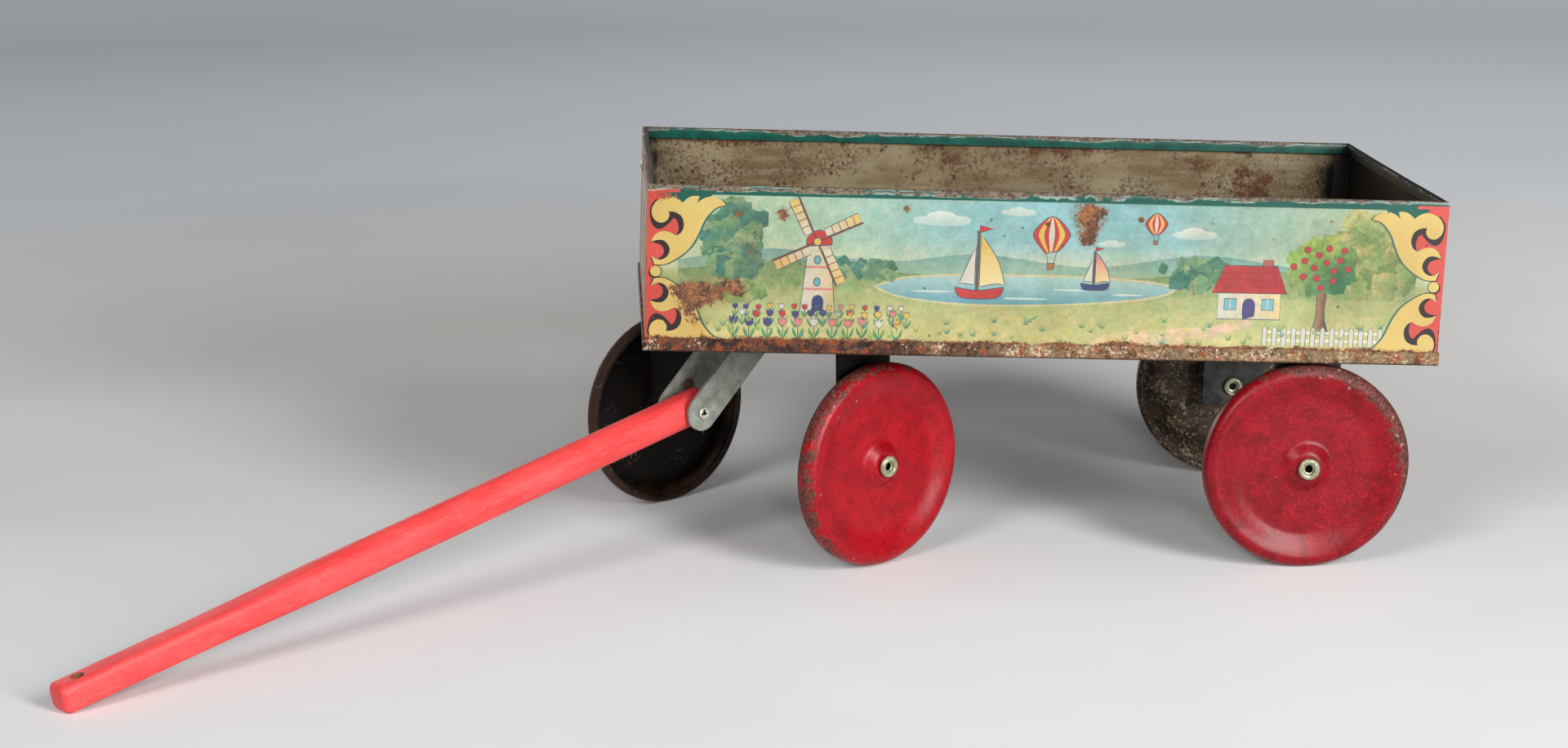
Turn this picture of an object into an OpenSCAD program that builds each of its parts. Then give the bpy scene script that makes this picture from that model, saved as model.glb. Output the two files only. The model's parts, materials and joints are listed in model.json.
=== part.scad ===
// Child's pull wagon of pressed tinplate with a wooden handle.
// It stands as found: the front truck is turned to the near side and the grip lies on the floor.
// Millimetres, +Z up, floor at z = 0. The front is towards -X and the near side towards -Y.
// The origin is on the floor, under the middle of the plan outline.

/* [Tray] */
// Outside length of the tray
tray_l = 254; // [240:1:270]
// Outside width of the tray
tray_w = 127; // [118:1:140]
// Height of the tray, from the underside of the pan to the top of the hem
tray_h = 53; // [45:1:62]
// Nose-up tilt of the tray, because the front bolster is taller than the rear one
tray_tilt = 2.6; // [1.5:0.1:2.8]
// Thickness of the tinplate
sheet_t = 0.5; // [0.4:0.05:0.7]
// Height of the pan's upturned lip, which grips the walls from outside
lip_h = 4.4; // [3.6:0.2:6]
// Depth of the safe edge, folded inwards at the top of each wall
hem_h = 3.8; // [3:0.2:5]
// Outer radius of that fold
hem_r = 0.9; // [0.8:0.05:1.2]
// Width of the corner tabs by which the end walls grip the side walls
corner_tab = 5.5; // [4:0.5:9]

/* [Wheels] */
// Diameter of the wheels over the tread
wheel_d = 67; // [64:0.5:68]
// Width of the rim
rim_w = 6.6; // [6:0.2:7.2]
// Thickness of the pressed wheel
wheel_t = 0.7; // [0.6:0.05:0.8]
// Distance between the front axle and the rear axle
wheel_base = 170.5; // [160:0.5:175]
// Distance between the middles of the front rims
front_track = 110; // [105:1:113]
// Distance between the middles of the rear rims
rear_track = 120; // [116:1:122]
// Distance from the rear axle to the rear end of the tray
rear_overhang = 39.5; // [38:0.5:48]
// Clear height between the rear wheels and the pan
wheel_gap = 1; // [0.8:0.1:2]

/* [Bolsters] */
// Thickness of the bolster plate
bolster_t = 1.2; // [1:0.1:1.5]
// Width of the front bolster
front_bolster_w = 23; // [20:0.5:26]
// Width of the rear bolster
rear_bolster_w = 21.5; // [19:0.5:26]
// How far the ears reach below the axle
ear_below = 7; // [6:0.5:9]
// Distance from the middle of the rim to the outside of the ear
ear_gap = 6.8; // [6.4:0.1:8]

/* [Steering and handle] */
// Angle by which the front truck is turned to the near side
steer = 38.2; // [0:0.1:45]
// Distance from the king pin to the handle's pivot
yoke_reach = 35; // [33:0.5:38]
// Height of the handle's pivot
pivot_z = 48.5; // [46:0.5:52]
// Slope of the yoke's arms
arm_slope = 41; // [38:1:45]
// Width of the yoke's arms
arm_w = 12; // [11:0.5:13]
// Diameter of the wooden dowel
handle_d = 11.5; // [10:0.5:12.5]
// Length of the handle from its pivot to the tip
handle_reach = 237; // [210:1:260]
// Length of the squared grip
grip_l = 80; // [70:1:95]
// Width of the grip
grip_w = 9.6; // [8.5:0.1:11]
// Height of the grip
grip_h = 8.6; // [8:0.1:10]
// Diameter of the cord hole in the grip
cord_hole_d = 4; // [3:0.5:4.5]

/* [Hidden] */
$fn = 64;

near = -1;
far = 1;
// Gap between pieces that move on each other, and radial clearance of a pin in its hole
run_gap = 0.3;
pin_fit = 0.05;
// How far a cutting shape runs past what it cuts
past = 1;

wheel_r = wheel_d / 2;
pan_drop = wheel_r + wheel_gap;
tray_front = rear_overhang - tray_l;

// Wheel section: curled inner edge, shoulder, sloping ring, flat disc and hub boss
curl_r = 0.9;
curl_open = 140;
shoulder_r = 2.2;
shoulder_turn = 107;
disc_r = 0.69 * wheel_r;
disc_sunk = 2.2;
boss_r = 6.9;
boss_top_r = 4.6;
boss_h = 2.2;
tread_r = wheel_r - wheel_t / 2;
curl_a = -rim_w / 2 + curl_r + wheel_t / 2;
shoulder_a = rim_w / 2 - shoulder_r - wheel_t / 2;
disc_a = rim_w / 2 - wheel_t / 2 - disc_sunk;
boss_a = disc_a + boss_h;

// Hub rivets: tubes with rolled ends, a larger roll outside the wheel than inside the ear
hub_r = 2.6;
hub_bore_r = 1.55;
hub_roll_r = 0.95;
ear_roll_r = 0.75;
sleeve_r = 3.7;
hub_out = boss_a + wheel_t / 2 + run_gap + hub_roll_r;
hub_in = -ear_gap - bolster_t - pin_fit - ear_roll_r;

// Bolsters
bend_r = 1.8;
rear_ear_y = rear_track / 2 - ear_gap;
front_ear_y = front_track / 2 - ear_gap;
bolster_rivet_r = 1.6;
bolster_rivet_y = 30;

// King pin and swivel
pin_r = 2.5;
pin_head_r = 5.5;
pin_head_h = 2.4;
pin_foot_r = 4.2;
pin_foot_h = 1.4;
washer_r = 7;
pan_z_at_pin = wheel_r + wheel_base * tan(tray_tilt) + pan_drop / cos(tray_tilt);
pin_station = -wheel_base / cos(tray_tilt) - pan_drop * tan(tray_tilt);
washer_h = 2.6;
web_z = pan_z_at_pin - washer_h;
crown_z = web_z - bolster_t;

// Yoke
arm_t = 1.2;
arm_y = handle_d / 2 + 1.2;
crown_back = 9;
crown_front = 19;
yoke_rivet_r = 1.5;
yoke_rivet_at = [-6.6, 3.9];
stud_up = 8.5;
stud_r = 2.4;
stud_h = 0.8;

// Handle
butt_l = 6.5;
butt_round = 2.4;
pivot_r = 1.6;
pivot_bore_r = 0.8;
pivot_bore_l = 5;
pivot_roll_r = 0.5;
pivot_head_r = 2.7;
pivot_head_h = 1.1;
grip_round = 2.2;
grip_taper = 34;
grip_square = 4.5;
cord_hole_in = 8;
ring_points = 32;
taper_steps = 6;
tip_steps = 4;
// The tip's rounded lower edge touches the floor
tip_along = handle_reach - grip_round;
tip_down = grip_h / 2 - grip_round;
droop = asin((pivot_z - grip_round) / norm([tip_along, tip_down])) - atan2(tip_down, tip_along);

// Front wall rivet and the pierced hole in the rear wall
wall_rivet_r = 1.2;
wall_rivet_head_r = 2.1;
wall_rivet_head_h = 1.1;
wall_rivet_y = 22;
wall_rivet_down = 7.5;
pierced_r = 0.8;
pierced_y = 44;
pierced_down = 19;

// Plan outline at rest, from the tip of the grip to the far rear corner of the tray
tip_reach = yoke_reach + handle_reach * cos(droop);
plan_x0 = -tip_reach * cos(steer) - (grip_w / 2 - grip_round) * sin(steer);
plan_x1 = wheel_base + rear_overhang * cos(tray_tilt) + (pan_drop + tray_h) * sin(tray_tilt);
plan_y0 = -tip_reach * sin(steer) - (grip_w / 2 - grip_round) * cos(steer);
plan_y1 = max(tray_w / 2, (front_track + rim_w) / 2 * cos(steer) + (wheel_r - shoulder_r) * sin(steer));

// Colours
litho_green = [0.55, 0.74, 0.62];
litho_coral = [0.86, 0.42, 0.38];
rusty_tin = [0.56, 0.42, 0.33];
dark_steel = [0.28, 0.31, 0.35];
wheel_red = [0.70, 0.14, 0.18];
rivet_metal = [0.62, 0.63, 0.55];
galvanised = [0.64, 0.66, 0.67];
handle_coral = [0.92, 0.36, 0.34];

// Points along an arc about c
function arc(c, r, from, to, steps = 7) =
    [for (i = [0 : steps]) let (a = from + (to - from) * i / steps) c + r * [cos(a), sin(a)]];

// Direction square to a path at point i
function side_of(path, i) =
    let (d = path[min(i + 1, len(path) - 1)] - path[max(i - 1, 0)]) [-d[1], d[0]] / norm(d);

// Outline of a sheet of thickness t that follows a path
function sheet_outline(path, t) = concat(
    [for (i = [0 : len(path) - 1]) path[i] + side_of(path, i) * t / 2],
    [for (i = [len(path) - 1 : -1 : 0]) path[i] - side_of(path, i) * t / 2]);

// Frames: the whole wagon, the tilted tray (its origin on the pan's underside above the rear axle),
// the turned front truck (its origin on the floor under the king pin) and the drooping handle
module wagon() { translate([-(plan_x0 + plan_x1) / 2, -(plan_y0 + plan_y1) / 2, 0]) children(); }
module on_tray() {
    wagon() translate([wheel_base, 0, wheel_r]) rotate([0, tray_tilt, 0]) translate([0, 0, pan_drop]) children();
}
module on_truck() { wagon() rotate([0, 0, steer]) children(); }
module on_handle() {
    on_truck() translate([-yoke_reach, 0, pivot_z]) rotate([0, -droop, 0]) children();
}

// An axle end with +Z pointing out of the wagon
module axle_end(side) { rotate([-90 * side, 0, 0]) children(); }
module rear_axle_end(side) {
    wagon() translate([wheel_base, side * rear_track / 2, wheel_r]) axle_end(side) children();
}
module front_axle_end(side) {
    on_truck() translate([0, side * front_track / 2, wheel_r]) axle_end(side) children();
}

// All the space between two heights of the tray, for trimming pieces to its tilt
module tray_space(z0, z1) {
    on_tray() translate([tray_front, -tray_w / 2, z0]) cube([tray_l, tray_w, z1 - z0]);
}

module hole(r, z0, z1) { translate([0, 0, z0 - past]) cylinder(r = r, h = z1 - z0 + 2 * past); }

// Spherical cap on z = 0
module dome(r, h) {
    ball_r = (r * r + h * h) / (2 * h);
    intersection() {
        translate([0, 0, h - ball_r]) sphere(r = ball_r);
        cylinder(r = r + past, h = h + past);
    }
}

// Safe edge of a wall: the fold and its inner leg, in section, with x into the tray and y up to 0
module hem_section() {
    translate([hem_r, -hem_r]) difference() {
        intersection() {
            circle(r = hem_r);
            translate([-hem_r, 0]) square([2 * hem_r, hem_r]);
        }
        circle(r = hem_r - sheet_t);
    }
    translate([2 * hem_r - sheet_t, -hem_h]) square([sheet_t, hem_h - hem_r]);
}

// Wall of length l along +X, its outer face on y = 0, its inside towards +Y, with a mitred hem
module hemmed_wall(l, z0, mitre_from) {
    translate([0, 0, z0]) cube([l, sheet_t, tray_h - hem_r - z0]);
    intersection() {
        translate([0, 0, tray_h]) rotate([90, 0, 90]) linear_extrude(height = l) hem_section();
        translate([0, 0, tray_h - hem_h]) linear_extrude(height = hem_h)
            polygon([[0, 0], [l, 0], [l, mitre_from], [l - 2 * hem_r + mitre_from, 2 * hem_r],
                     [2 * hem_r - mitre_from, 2 * hem_r], [0, mitre_from]]);
    }
}

module side_wall(side) {
    l = tray_l - 2 * sheet_t;
    on_tray() translate([tray_front + sheet_t, 0, 0]) mirror([0, side > 0 ? 1 : 0, 0])
        translate([0, -tray_w / 2 + sheet_t, 0]) hemmed_wall(l, sheet_t, 0);
}

// End wall between the side walls, with a tab folded along each of them
module end_wall_sheet() {
    l = tray_w - 4 * sheet_t;
    tab_top = tray_h - hem_h - run_gap;
    hemmed_wall(l, sheet_t, sheet_t);
    for (x = [0, l - sheet_t])
        translate([x, 0, sheet_t]) cube([sheet_t, corner_tab, tab_top - sheet_t]);
}

module near_side_wall() { color(litho_green) side_wall(near); }
module far_side_wall() { color(litho_green) side_wall(far); }

module front_wall() {
    color(litho_coral) on_tray() difference() {
        translate([tray_front + sheet_t, tray_w / 2 - 2 * sheet_t, 0]) rotate([0, 0, -90]) end_wall_sheet();
        translate([tray_front, wall_rivet_y, tray_h - wall_rivet_down]) rotate([0, 90, 0])
            hole(wall_rivet_r + pin_fit, 0, 2 * sheet_t);
    }
}

module rear_wall() {
    color(litho_coral) on_tray() difference() {
        translate([rear_overhang - sheet_t, -tray_w / 2 + 2 * sheet_t, 0]) rotate([0, 0, 90]) end_wall_sheet();
        translate([rear_overhang, pierced_y, tray_h - pierced_down]) rotate([0, -90, 0])
            hole(pierced_r, 0, 2 * sheet_t);
    }
}

// Pan with an upturned lip all round, holed for the king pin and for the rear bolster's rivets
module floor_pan() {
    color(rusty_tin) difference() {
        on_tray() translate([tray_front, -tray_w / 2, 0]) difference() {
            cube([tray_l, tray_w, lip_h]);
            translate([sheet_t, sheet_t, sheet_t])
                cube([tray_l - 2 * sheet_t, tray_w - 2 * sheet_t, lip_h]);
        }
        wagon() hole(pin_r + pin_fit, web_z, pan_z_at_pin + past);
        on_tray() for (side = [near, far])
            translate([0, side * bolster_rivet_y, 0]) hole(bolster_rivet_r + pin_fit, 0, sheet_t);
    }
}

// Domed rivet in the front wall, upset on the inside
module front_wall_rivet() {
    tail_h = wall_rivet_head_h / 2;
    color(rusty_tin) on_tray() translate([tray_front + sheet_t, wall_rivet_y, tray_h - wall_rivet_down])
        rotate([0, -90, 0]) {
            dome(wall_rivet_head_r, wall_rivet_head_h);
            translate([0, 0, -sheet_t]) cylinder(r = wall_rivet_r, h = sheet_t);
            translate([0, 0, -sheet_t]) mirror([0, 0, 1]) dome(wall_rivet_head_r, tail_h);
        }
}

// Plate bent to an inverted U, in section: outside half width w, outside height h, top at y = 0
module bolster_section(w, h) {
    outer = concat([[w, -h]], arc([w - bend_r, -bend_r], bend_r, 0, 90),
                   arc([bend_r - w, -bend_r], bend_r, 90, 180), [[-w, -h]]);
    in_w = w - bolster_t;
    in_r = bend_r - bolster_t;
    inner = concat([[-in_w, -h]], arc([in_r - in_w, -bend_r], in_r, 180, 90),
                   arc([in_w - in_r, -bend_r], in_r, 90, 0), [[in_w, -h]]);
    polygon(concat(outer, inner));
}

// Bolster of width w along X with its web on top at z = 0 and a hub hole in each ear
module bolster(ear_y, w, axle_below) {
    difference() {
        translate([-w / 2, 0, 0]) rotate([90, 0, 90]) linear_extrude(height = w)
            bolster_section(ear_y, axle_below + ear_below);
        translate([0, 0, -axle_below]) rotate([90, 0, 0]) hole(hub_r + pin_fit, -ear_y, ear_y);
        children();
    }
}

module rear_bolster() {
    color(dark_steel) on_tray() bolster(rear_ear_y, rear_bolster_w, pan_drop)
        for (side = [near, far])
            translate([0, side * bolster_rivet_y, 0]) hole(bolster_rivet_r + pin_fit, -bolster_t, 0);
}

module front_bolster() {
    color(dark_steel) on_truck() translate([0, 0, web_z])
        bolster(front_ear_y, front_bolster_w, web_z - wheel_r) {
            hole(pin_r + pin_fit, -bolster_t, 0);
            yoke_rivet_places() hole(yoke_rivet_r + pin_fit, -bolster_t, 0);
        }
}

// Rivets through the rear bolster and the pan, domed inside the tray and below
module rear_bolster_rivets() {
    head_r = 2 * bolster_rivet_r;
    color(dark_steel) on_tray() for (side = [near, far]) translate([0, side * bolster_rivet_y, 0]) {
        translate([0, 0, -bolster_t]) cylinder(r = bolster_rivet_r, h = bolster_t + sheet_t);
        translate([0, 0, sheet_t]) dome(head_r, bolster_rivet_r);
        translate([0, 0, -bolster_t]) mirror([0, 0, 1]) dome(head_r, bolster_rivet_r);
    }
}

// Ring of round section
module roll(ring_r, r) { rotate_extrude() translate([ring_r, 0]) circle(r = r, $fn = 32); }

module hub_rivet() {
    difference() {
        union() {
            translate([0, 0, hub_in]) cylinder(r = hub_r, h = hub_out - hub_in);
            translate([0, 0, hub_out]) roll(hub_r, hub_roll_r);
            translate([0, 0, hub_in]) roll(hub_r, ear_roll_r);
        }
        hole(hub_bore_r, hub_in - ear_roll_r, hub_out + hub_roll_r);
    }
}

// Sleeve on the rivet that holds the wheel off the ear
module hub_sleeve() {
    end = boss_a - wheel_t / 2 - run_gap;
    difference() {
        translate([0, 0, -ear_gap]) cylinder(r = sleeve_r, h = end + ear_gap);
        hole(hub_r + pin_fit, -ear_gap, end);
    }
}

module rear_hub_rivets() { color(rivet_metal) for (side = [near, far]) rear_axle_end(side) hub_rivet(); }
module rear_hub_sleeves() { color(rivet_metal) for (side = [near, far]) rear_axle_end(side) hub_sleeve(); }
module front_hub_rivets() { color(rivet_metal) for (side = [near, far]) front_axle_end(side) hub_rivet(); }
module front_hub_sleeves() { color(rivet_metal) for (side = [near, far]) front_axle_end(side) hub_sleeve(); }

// Upright pin headed on the sloping pan; its foot is upset under the yoke's crown
module king_pin() {
    foot_z = crown_z - arm_t - run_gap;
    color(rivet_metal) {
        wagon() translate([0, 0, foot_z]) {
            cylinder(r = pin_r, h = pan_z_at_pin + sheet_t + pin_head_h / 2 - foot_z);
            mirror([0, 0, 1]) dome(pin_foot_r, pin_foot_h);
        }
        on_tray() translate([pin_station, 0, sheet_t]) dome(pin_head_r, pin_head_h);
    }
}

// Washer between the bolster and the pan, its top trimmed to the pan's slope
module swivel_washer() {
    color(rusty_tin) difference() {
        wagon() translate([0, 0, web_z + run_gap]) cylinder(r = washer_r, h = washer_h + past);
        wagon() hole(pin_r + pin_fit, web_z, web_z + washer_h + past);
        tray_space(0, tray_h);
    }
}

module yoke_rivet_places() {
    for (side = [near, far]) translate([yoke_rivet_at[0], side * yoke_rivet_at[1], 0]) children();
}

// Side view of an arm: x forward of the king pin, y up, round at the pivot and cut level under the web
module arm_outline() {
    pivot = [yoke_reach, pivot_z];
    back = [-cos(arm_slope), sin(arm_slope)];
    across = [sin(arm_slope), cos(arm_slope)] * arm_w / 2;
    low_rise = (crown_z - (pivot - across)[1]) / sin(arm_slope);
    high_rise = (crown_z - (pivot + across)[1]) / sin(arm_slope);
    translate(pivot) circle(r = arm_w / 2);
    polygon([pivot - across, pivot + across, pivot + across + back * high_rise, pivot - across + back * low_rise]);
}

// Galvanised strap: a crown under the bolster's web and two arms that hold the handle
module drawbar_yoke() {
    half_w = arm_y + arm_t;
    color(galvanised) on_truck() difference() {
        union() {
            translate([-crown_front, -half_w, crown_z - arm_t]) cube([crown_front + crown_back, 2 * half_w, arm_t]);
            for (y = [-half_w, arm_y])
                translate([0, y + arm_t, 0]) rotate([90, 0, 0]) linear_extrude(height = arm_t)
                    mirror([1, 0]) arm_outline();
        }
        hole(pin_r + pin_fit, crown_z - arm_t, crown_z);
        yoke_rivet_places() hole(yoke_rivet_r + pin_fit, crown_z - arm_t, crown_z);
        translate([-yoke_reach, 0, pivot_z]) rotate([90, 0, 0]) hole(pivot_r + pin_fit, -half_w, half_w);
        on_far_arm() hole(stud_r / 2 + pin_fit, -arm_t, 0);
    }
}

// Rivets that fix the yoke's crown to the bolster's web, flush on top
module yoke_rivets() {
    color(dark_steel) on_truck() yoke_rivet_places() {
        translate([0, 0, crown_z - arm_t]) cylinder(r = yoke_rivet_r, h = arm_t + bolster_t);
        translate([0, 0, crown_z - arm_t]) mirror([0, 0, 1]) dome(1.8 * yoke_rivet_r, yoke_rivet_r);
    }
}

// A point up the far arm, on its inner face, with +Z towards the handle
module on_far_arm() {
    translate([-yoke_reach + stud_up * cos(arm_slope), arm_y, pivot_z + stud_up * sin(arm_slope)])
        rotate([90, 0, 0]) children();
}

// Domed stud in the far arm, above the handle's butt
module yoke_stud() {
    color(rusty_tin) on_truck() on_far_arm() {
        dome(stud_r, stud_h);
        translate([0, 0, -arm_t]) cylinder(r = stud_r / 2, h = arm_t);
        translate([0, 0, -arm_t]) mirror([0, 0, 1]) dome(stud_r, stud_h);
    }
}

// Rivet through the yoke and the handle, hollow and rolled over at its near end
module handle_pivot_rivet() {
    half_w = arm_y + arm_t;
    near_end = half_w + pivot_roll_r;
    color(rivet_metal) on_truck() translate([-yoke_reach, 0, pivot_z]) rotate([90, 0, 0]) difference() {
        union() {
            translate([0, 0, -half_w]) cylinder(r = pivot_r, h = half_w + near_end);
            translate([0, 0, near_end]) roll(pivot_r, pivot_roll_r);
            translate([0, 0, -half_w]) mirror([0, 0, 1]) dome(pivot_head_r, pivot_head_h);
        }
        translate([0, 0, near_end - pivot_bore_l]) cylinder(r = pivot_bore_r, h = pivot_bore_l + past);
    }
}

// Cross-section of the handle at x: round where the squareness is 2, and squarer above that
function handle_ring(x, half_w, half_h, squareness) =
    [for (i = [0 : ring_points - 1])
        let (c = cos(360 * i / ring_points), s = sin(360 * i / ring_points))
            [x, half_w * sign(c) * pow(abs(c), 2 / squareness), half_h * sign(s) * pow(abs(s), 2 / squareness)]];

// Solid through a list of rings of ring_points points each
module loft(rings) {
    n = ring_points;
    last = len(rings) - 1;
    end = last * n;
    start_cap = [for (i = [1 : n - 2]) [0, i + 1, i]];
    end_cap = [for (i = [1 : n - 2]) [end, end + i, end + i + 1]];
    skin = [for (k = [0 : last - 1], i = [0 : n - 1])
        let (a = k * n + i, b = k * n + (i + 1) % n) each [[a, b, a + n], [b, b + n, a + n]]];
    polyhedron(points = [for (ring = rings) each ring], faces = concat(start_cap, skin, end_cap));
}

// Turned dowel with a rounded butt, tapering to a squared grip with a cord hole near the tip
module handle() {
    handle_r = handle_d / 2;
    dowel_end = handle_reach - grip_l;
    butt = concat([[0, butt_l]], arc([handle_r - butt_round, butt_l - butt_round], butt_round, 90, 0),
                  [[handle_r, -dowel_end], [0, -dowel_end]]);
    root = [handle_ring(past - dowel_end, handle_r - pin_fit, handle_r - pin_fit, 2)];
    taper = [for (i = [0 : taper_steps]) let (u = i / taper_steps, ease = u * u * (3 - 2 * u))
        handle_ring(-dowel_end - grip_taper * u, handle_r - pin_fit + (grip_w / 2 - handle_r) * ease,
                    handle_r - pin_fit + (grip_h / 2 - handle_r) * ease, 2 + (grip_square - 2) * ease)];
    tip = [for (i = [0 : tip_steps]) let (a = 90 * i / tip_steps, inset = grip_round * (1 - cos(a)) + pin_fit)
        handle_ring(-tip_along - grip_round * sin(a), grip_w / 2 - inset, grip_h / 2 - inset, grip_square)];
    color(handle_coral) on_handle() difference() {
        union() {
            rotate([0, 90, 0]) rotate_extrude() polygon(butt);
            loft(concat(root, taper, tip));
        }
        rotate([90, 0, 0]) hole(pivot_r + pin_fit, -handle_r, handle_r);
        translate([-handle_reach + cord_hole_in, 0, 0]) hole(cord_hole_d / 2, -grip_h / 2, grip_h / 2);
    }
}

// Pressed cup wheel, its outer face towards +Z and the middle of its rim on z = 0
module wheel() {
    path = concat(
        arc([tread_r - curl_r, curl_a], curl_r, curl_open, 360, 9),
        arc([tread_r - shoulder_r, shoulder_a], shoulder_r, 0, shoulder_turn),
        [[disc_r, disc_a], [boss_r, disc_a], [boss_top_r, boss_a], [hub_r + pin_fit, boss_a]]);
    color(wheel_red) rotate_extrude($fn = 96) polygon(sheet_outline(path, wheel_t));
}

module rear_near_wheel() { rear_axle_end(near) wheel(); }
module rear_far_wheel() { rear_axle_end(far) wheel(); }
module front_near_wheel() { front_axle_end(near) wheel(); }
module front_far_wheel() { front_axle_end(far) wheel(); }

near_side_wall();
far_side_wall();
front_wall();
rear_wall();
floor_pan();
front_wall_rivet();
rear_bolster();
rear_bolster_rivets();
rear_hub_rivets();
rear_hub_sleeves();
king_pin();
swivel_washer();
front_bolster();
front_hub_rivets();
front_hub_sleeves();
drawbar_yoke();
yoke_rivets();
yoke_stud();
handle_pivot_rivet();
handle();
rear_near_wheel();
rear_far_wheel();
front_near_wheel();
front_far_wheel();
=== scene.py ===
# %% [markdown]
# A child's pull wagon in printed tinplate.
# The real toy is a folded tin tray with a colour-printed outside, four pressed cup wheels on hollow
# rivets, a front truck that steers on a king pin, and a painted wooden handle in a galvanised yoke.
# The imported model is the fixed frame: it gives every size, place and joint. This lesson dresses it,
# piece by piece, so that each CAD node gets the finish or the fuller form of the real piece.

# %% Load the frame
import json
import math
import random

import bmesh
import bpy
import numpy as np
from mathutils import Matrix, Vector
from mathutils.geometry import delaunay_2d_cdt


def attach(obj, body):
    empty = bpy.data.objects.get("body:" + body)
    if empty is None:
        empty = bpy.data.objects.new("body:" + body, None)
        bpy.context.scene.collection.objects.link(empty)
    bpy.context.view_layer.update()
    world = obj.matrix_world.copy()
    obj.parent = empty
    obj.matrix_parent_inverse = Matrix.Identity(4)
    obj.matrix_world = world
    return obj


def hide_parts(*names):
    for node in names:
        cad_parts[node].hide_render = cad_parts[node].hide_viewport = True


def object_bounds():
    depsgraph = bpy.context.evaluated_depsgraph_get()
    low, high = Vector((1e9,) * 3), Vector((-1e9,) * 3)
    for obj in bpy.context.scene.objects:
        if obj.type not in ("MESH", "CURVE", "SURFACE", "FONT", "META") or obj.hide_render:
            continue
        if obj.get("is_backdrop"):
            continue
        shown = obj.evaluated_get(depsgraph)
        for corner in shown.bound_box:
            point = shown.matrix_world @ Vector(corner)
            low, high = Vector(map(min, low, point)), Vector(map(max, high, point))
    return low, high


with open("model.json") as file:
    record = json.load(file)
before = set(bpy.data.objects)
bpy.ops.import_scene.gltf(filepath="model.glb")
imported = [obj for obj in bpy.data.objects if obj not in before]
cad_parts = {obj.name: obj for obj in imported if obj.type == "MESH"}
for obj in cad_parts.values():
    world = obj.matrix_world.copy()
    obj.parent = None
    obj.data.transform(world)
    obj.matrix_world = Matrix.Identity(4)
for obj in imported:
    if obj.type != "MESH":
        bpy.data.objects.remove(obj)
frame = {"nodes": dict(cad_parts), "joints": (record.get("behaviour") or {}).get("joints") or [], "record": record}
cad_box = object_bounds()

MM = 0.001
scene = bpy.context.scene
scene.view_settings.view_transform = "Standard"
joints = {joint["name"]: joint for joint in frame["joints"]}
mounts = {mount["name"]: mount for mount in frame["record"]["mounts"]}

# %% [markdown]
# The tray stands nose-up by a few degrees and the truck is turned, so pieces are easiest to draw in
# frames of their own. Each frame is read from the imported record: the load bed gives the tray's slope,
# and the joints give the wheels, the king pin and the handle. A finished piece sits at the world origin
# with its place in its vertices, so each mesh is transformed once, when it is made.

# %% Frames of the tray, the truck and the wheels
def frame_from(place, along, up):
    """A matrix with X along one direction and Z as near as can be along the other."""
    x = Vector(along).normalized()
    y = Vector(up).cross(x).normalized()
    turned = Matrix((x, y, x.cross(y))).transposed().to_4x4()
    return Matrix.Translation(Vector(place)) @ turned


UP = Vector((0, 0, 1))
NEAR, FAR = -1, 1
bed = mounts["load_bed"]
TRAY = frame_from(bed["pos_m"], Vector((0, 1, 0)).cross(Vector(bed["axis"])), bed["axis"])
truck_side = Vector(joints["handle_lift"]["axis"])
PIVOT = frame_from(joints["handle_lift"]["pos_m"], truck_side.cross(UP), UP)


def axle_end(joint_name, side):
    """The frame of a wheel: its origin in the middle of the rim, and Z out of the wagon."""
    joint = joints[joint_name]
    out = Vector(joint["axis"]) * side
    return frame_from(joint["pos_m"], UP.cross(out), out)


WHEELS = {f"{end}_{name}_wheel": axle_end(f"{end}_{name}_spin", side)
          for end in ("rear", "front") for name, side in (("near", NEAR), ("far", FAR))}


def local_box(node, place):
    """Lowest and highest corner of a CAD node in a frame, in millimetres."""
    turned = [place.inverted() @ v.co for v in frame["nodes"][node].data.vertices]
    return np.min(turned, 0) / MM, np.max(turned, 0) / MM


wall_low, wall_high = local_box("near_side_wall", TRAY)
pan_low, pan_high = local_box("floor_pan", TRAY)
front_low, front_high = local_box("front_wall", TRAY)
wheel_low, wheel_high = local_box("rear_near_wheel", WHEELS["rear_near_wheel"])
print("tray", (pan_high - pan_low).round(2), "wheel", (wheel_high - wheel_low).round(2))

# %% [markdown]
# Sizes of the tinsmith's work, in millimetres. The sheet is half a millimetre thick. Its top edge is
# turned over into a safe edge, the pan's lip grips the walls from outside, and sheared edges are eased.

# %% Sizes of the sheet metal
SHEET = 0.5
HEM_R = 0.9
HEM_DEEP = 3.8
CORNER_TAB = 5.5
SHEAR_EASE = 0.12
WALL_TOP = float(wall_high[2])
WALL_FLAT = WALL_TOP - HEM_R
LIP_TOP = float(pan_high[2])
SIDE_L = float(wall_high[0] - wall_low[0])
END_L = float(front_high[1] - front_low[1])
PAN_L = float(pan_high[0] - pan_low[0])
PAN_W = float(pan_high[1] - pan_low[1])
STEP = 4.0
print("side wall", round(SIDE_L, 2), "end wall", round(END_L, 2), "lip", round(LIP_TOP, 2))

# %% [markdown]
# Finishes are node trees. A few short helpers keep them readable: one adds a node with its inputs, and
# the others wrap the nodes that every finish needs, in the tree that their sockets belong to. Sizes of
# patterns are in millimetres, and patterns read Object coordinates or the piece's own attributes, so they
# stay put when a body moves.

# %% Helpers for node trees
def add(tree, kind, inputs=None, **settings):
    """A new node, with its settings, and with its inputs set or linked."""
    made = tree.nodes.new(kind)
    for name, value in settings.items():
        setattr(made, name, value)
    for key, value in (inputs or {}).items():
        if isinstance(value, bpy.types.NodeSocket):
            tree.links.new(value, made.inputs[key])
        else:
            made.inputs[key].default_value = value
    return made


def tree_of(*values):
    """The tree of the first socket among some values."""
    return next(value.id_data for value in values if isinstance(value, bpy.types.NodeSocket))


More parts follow.
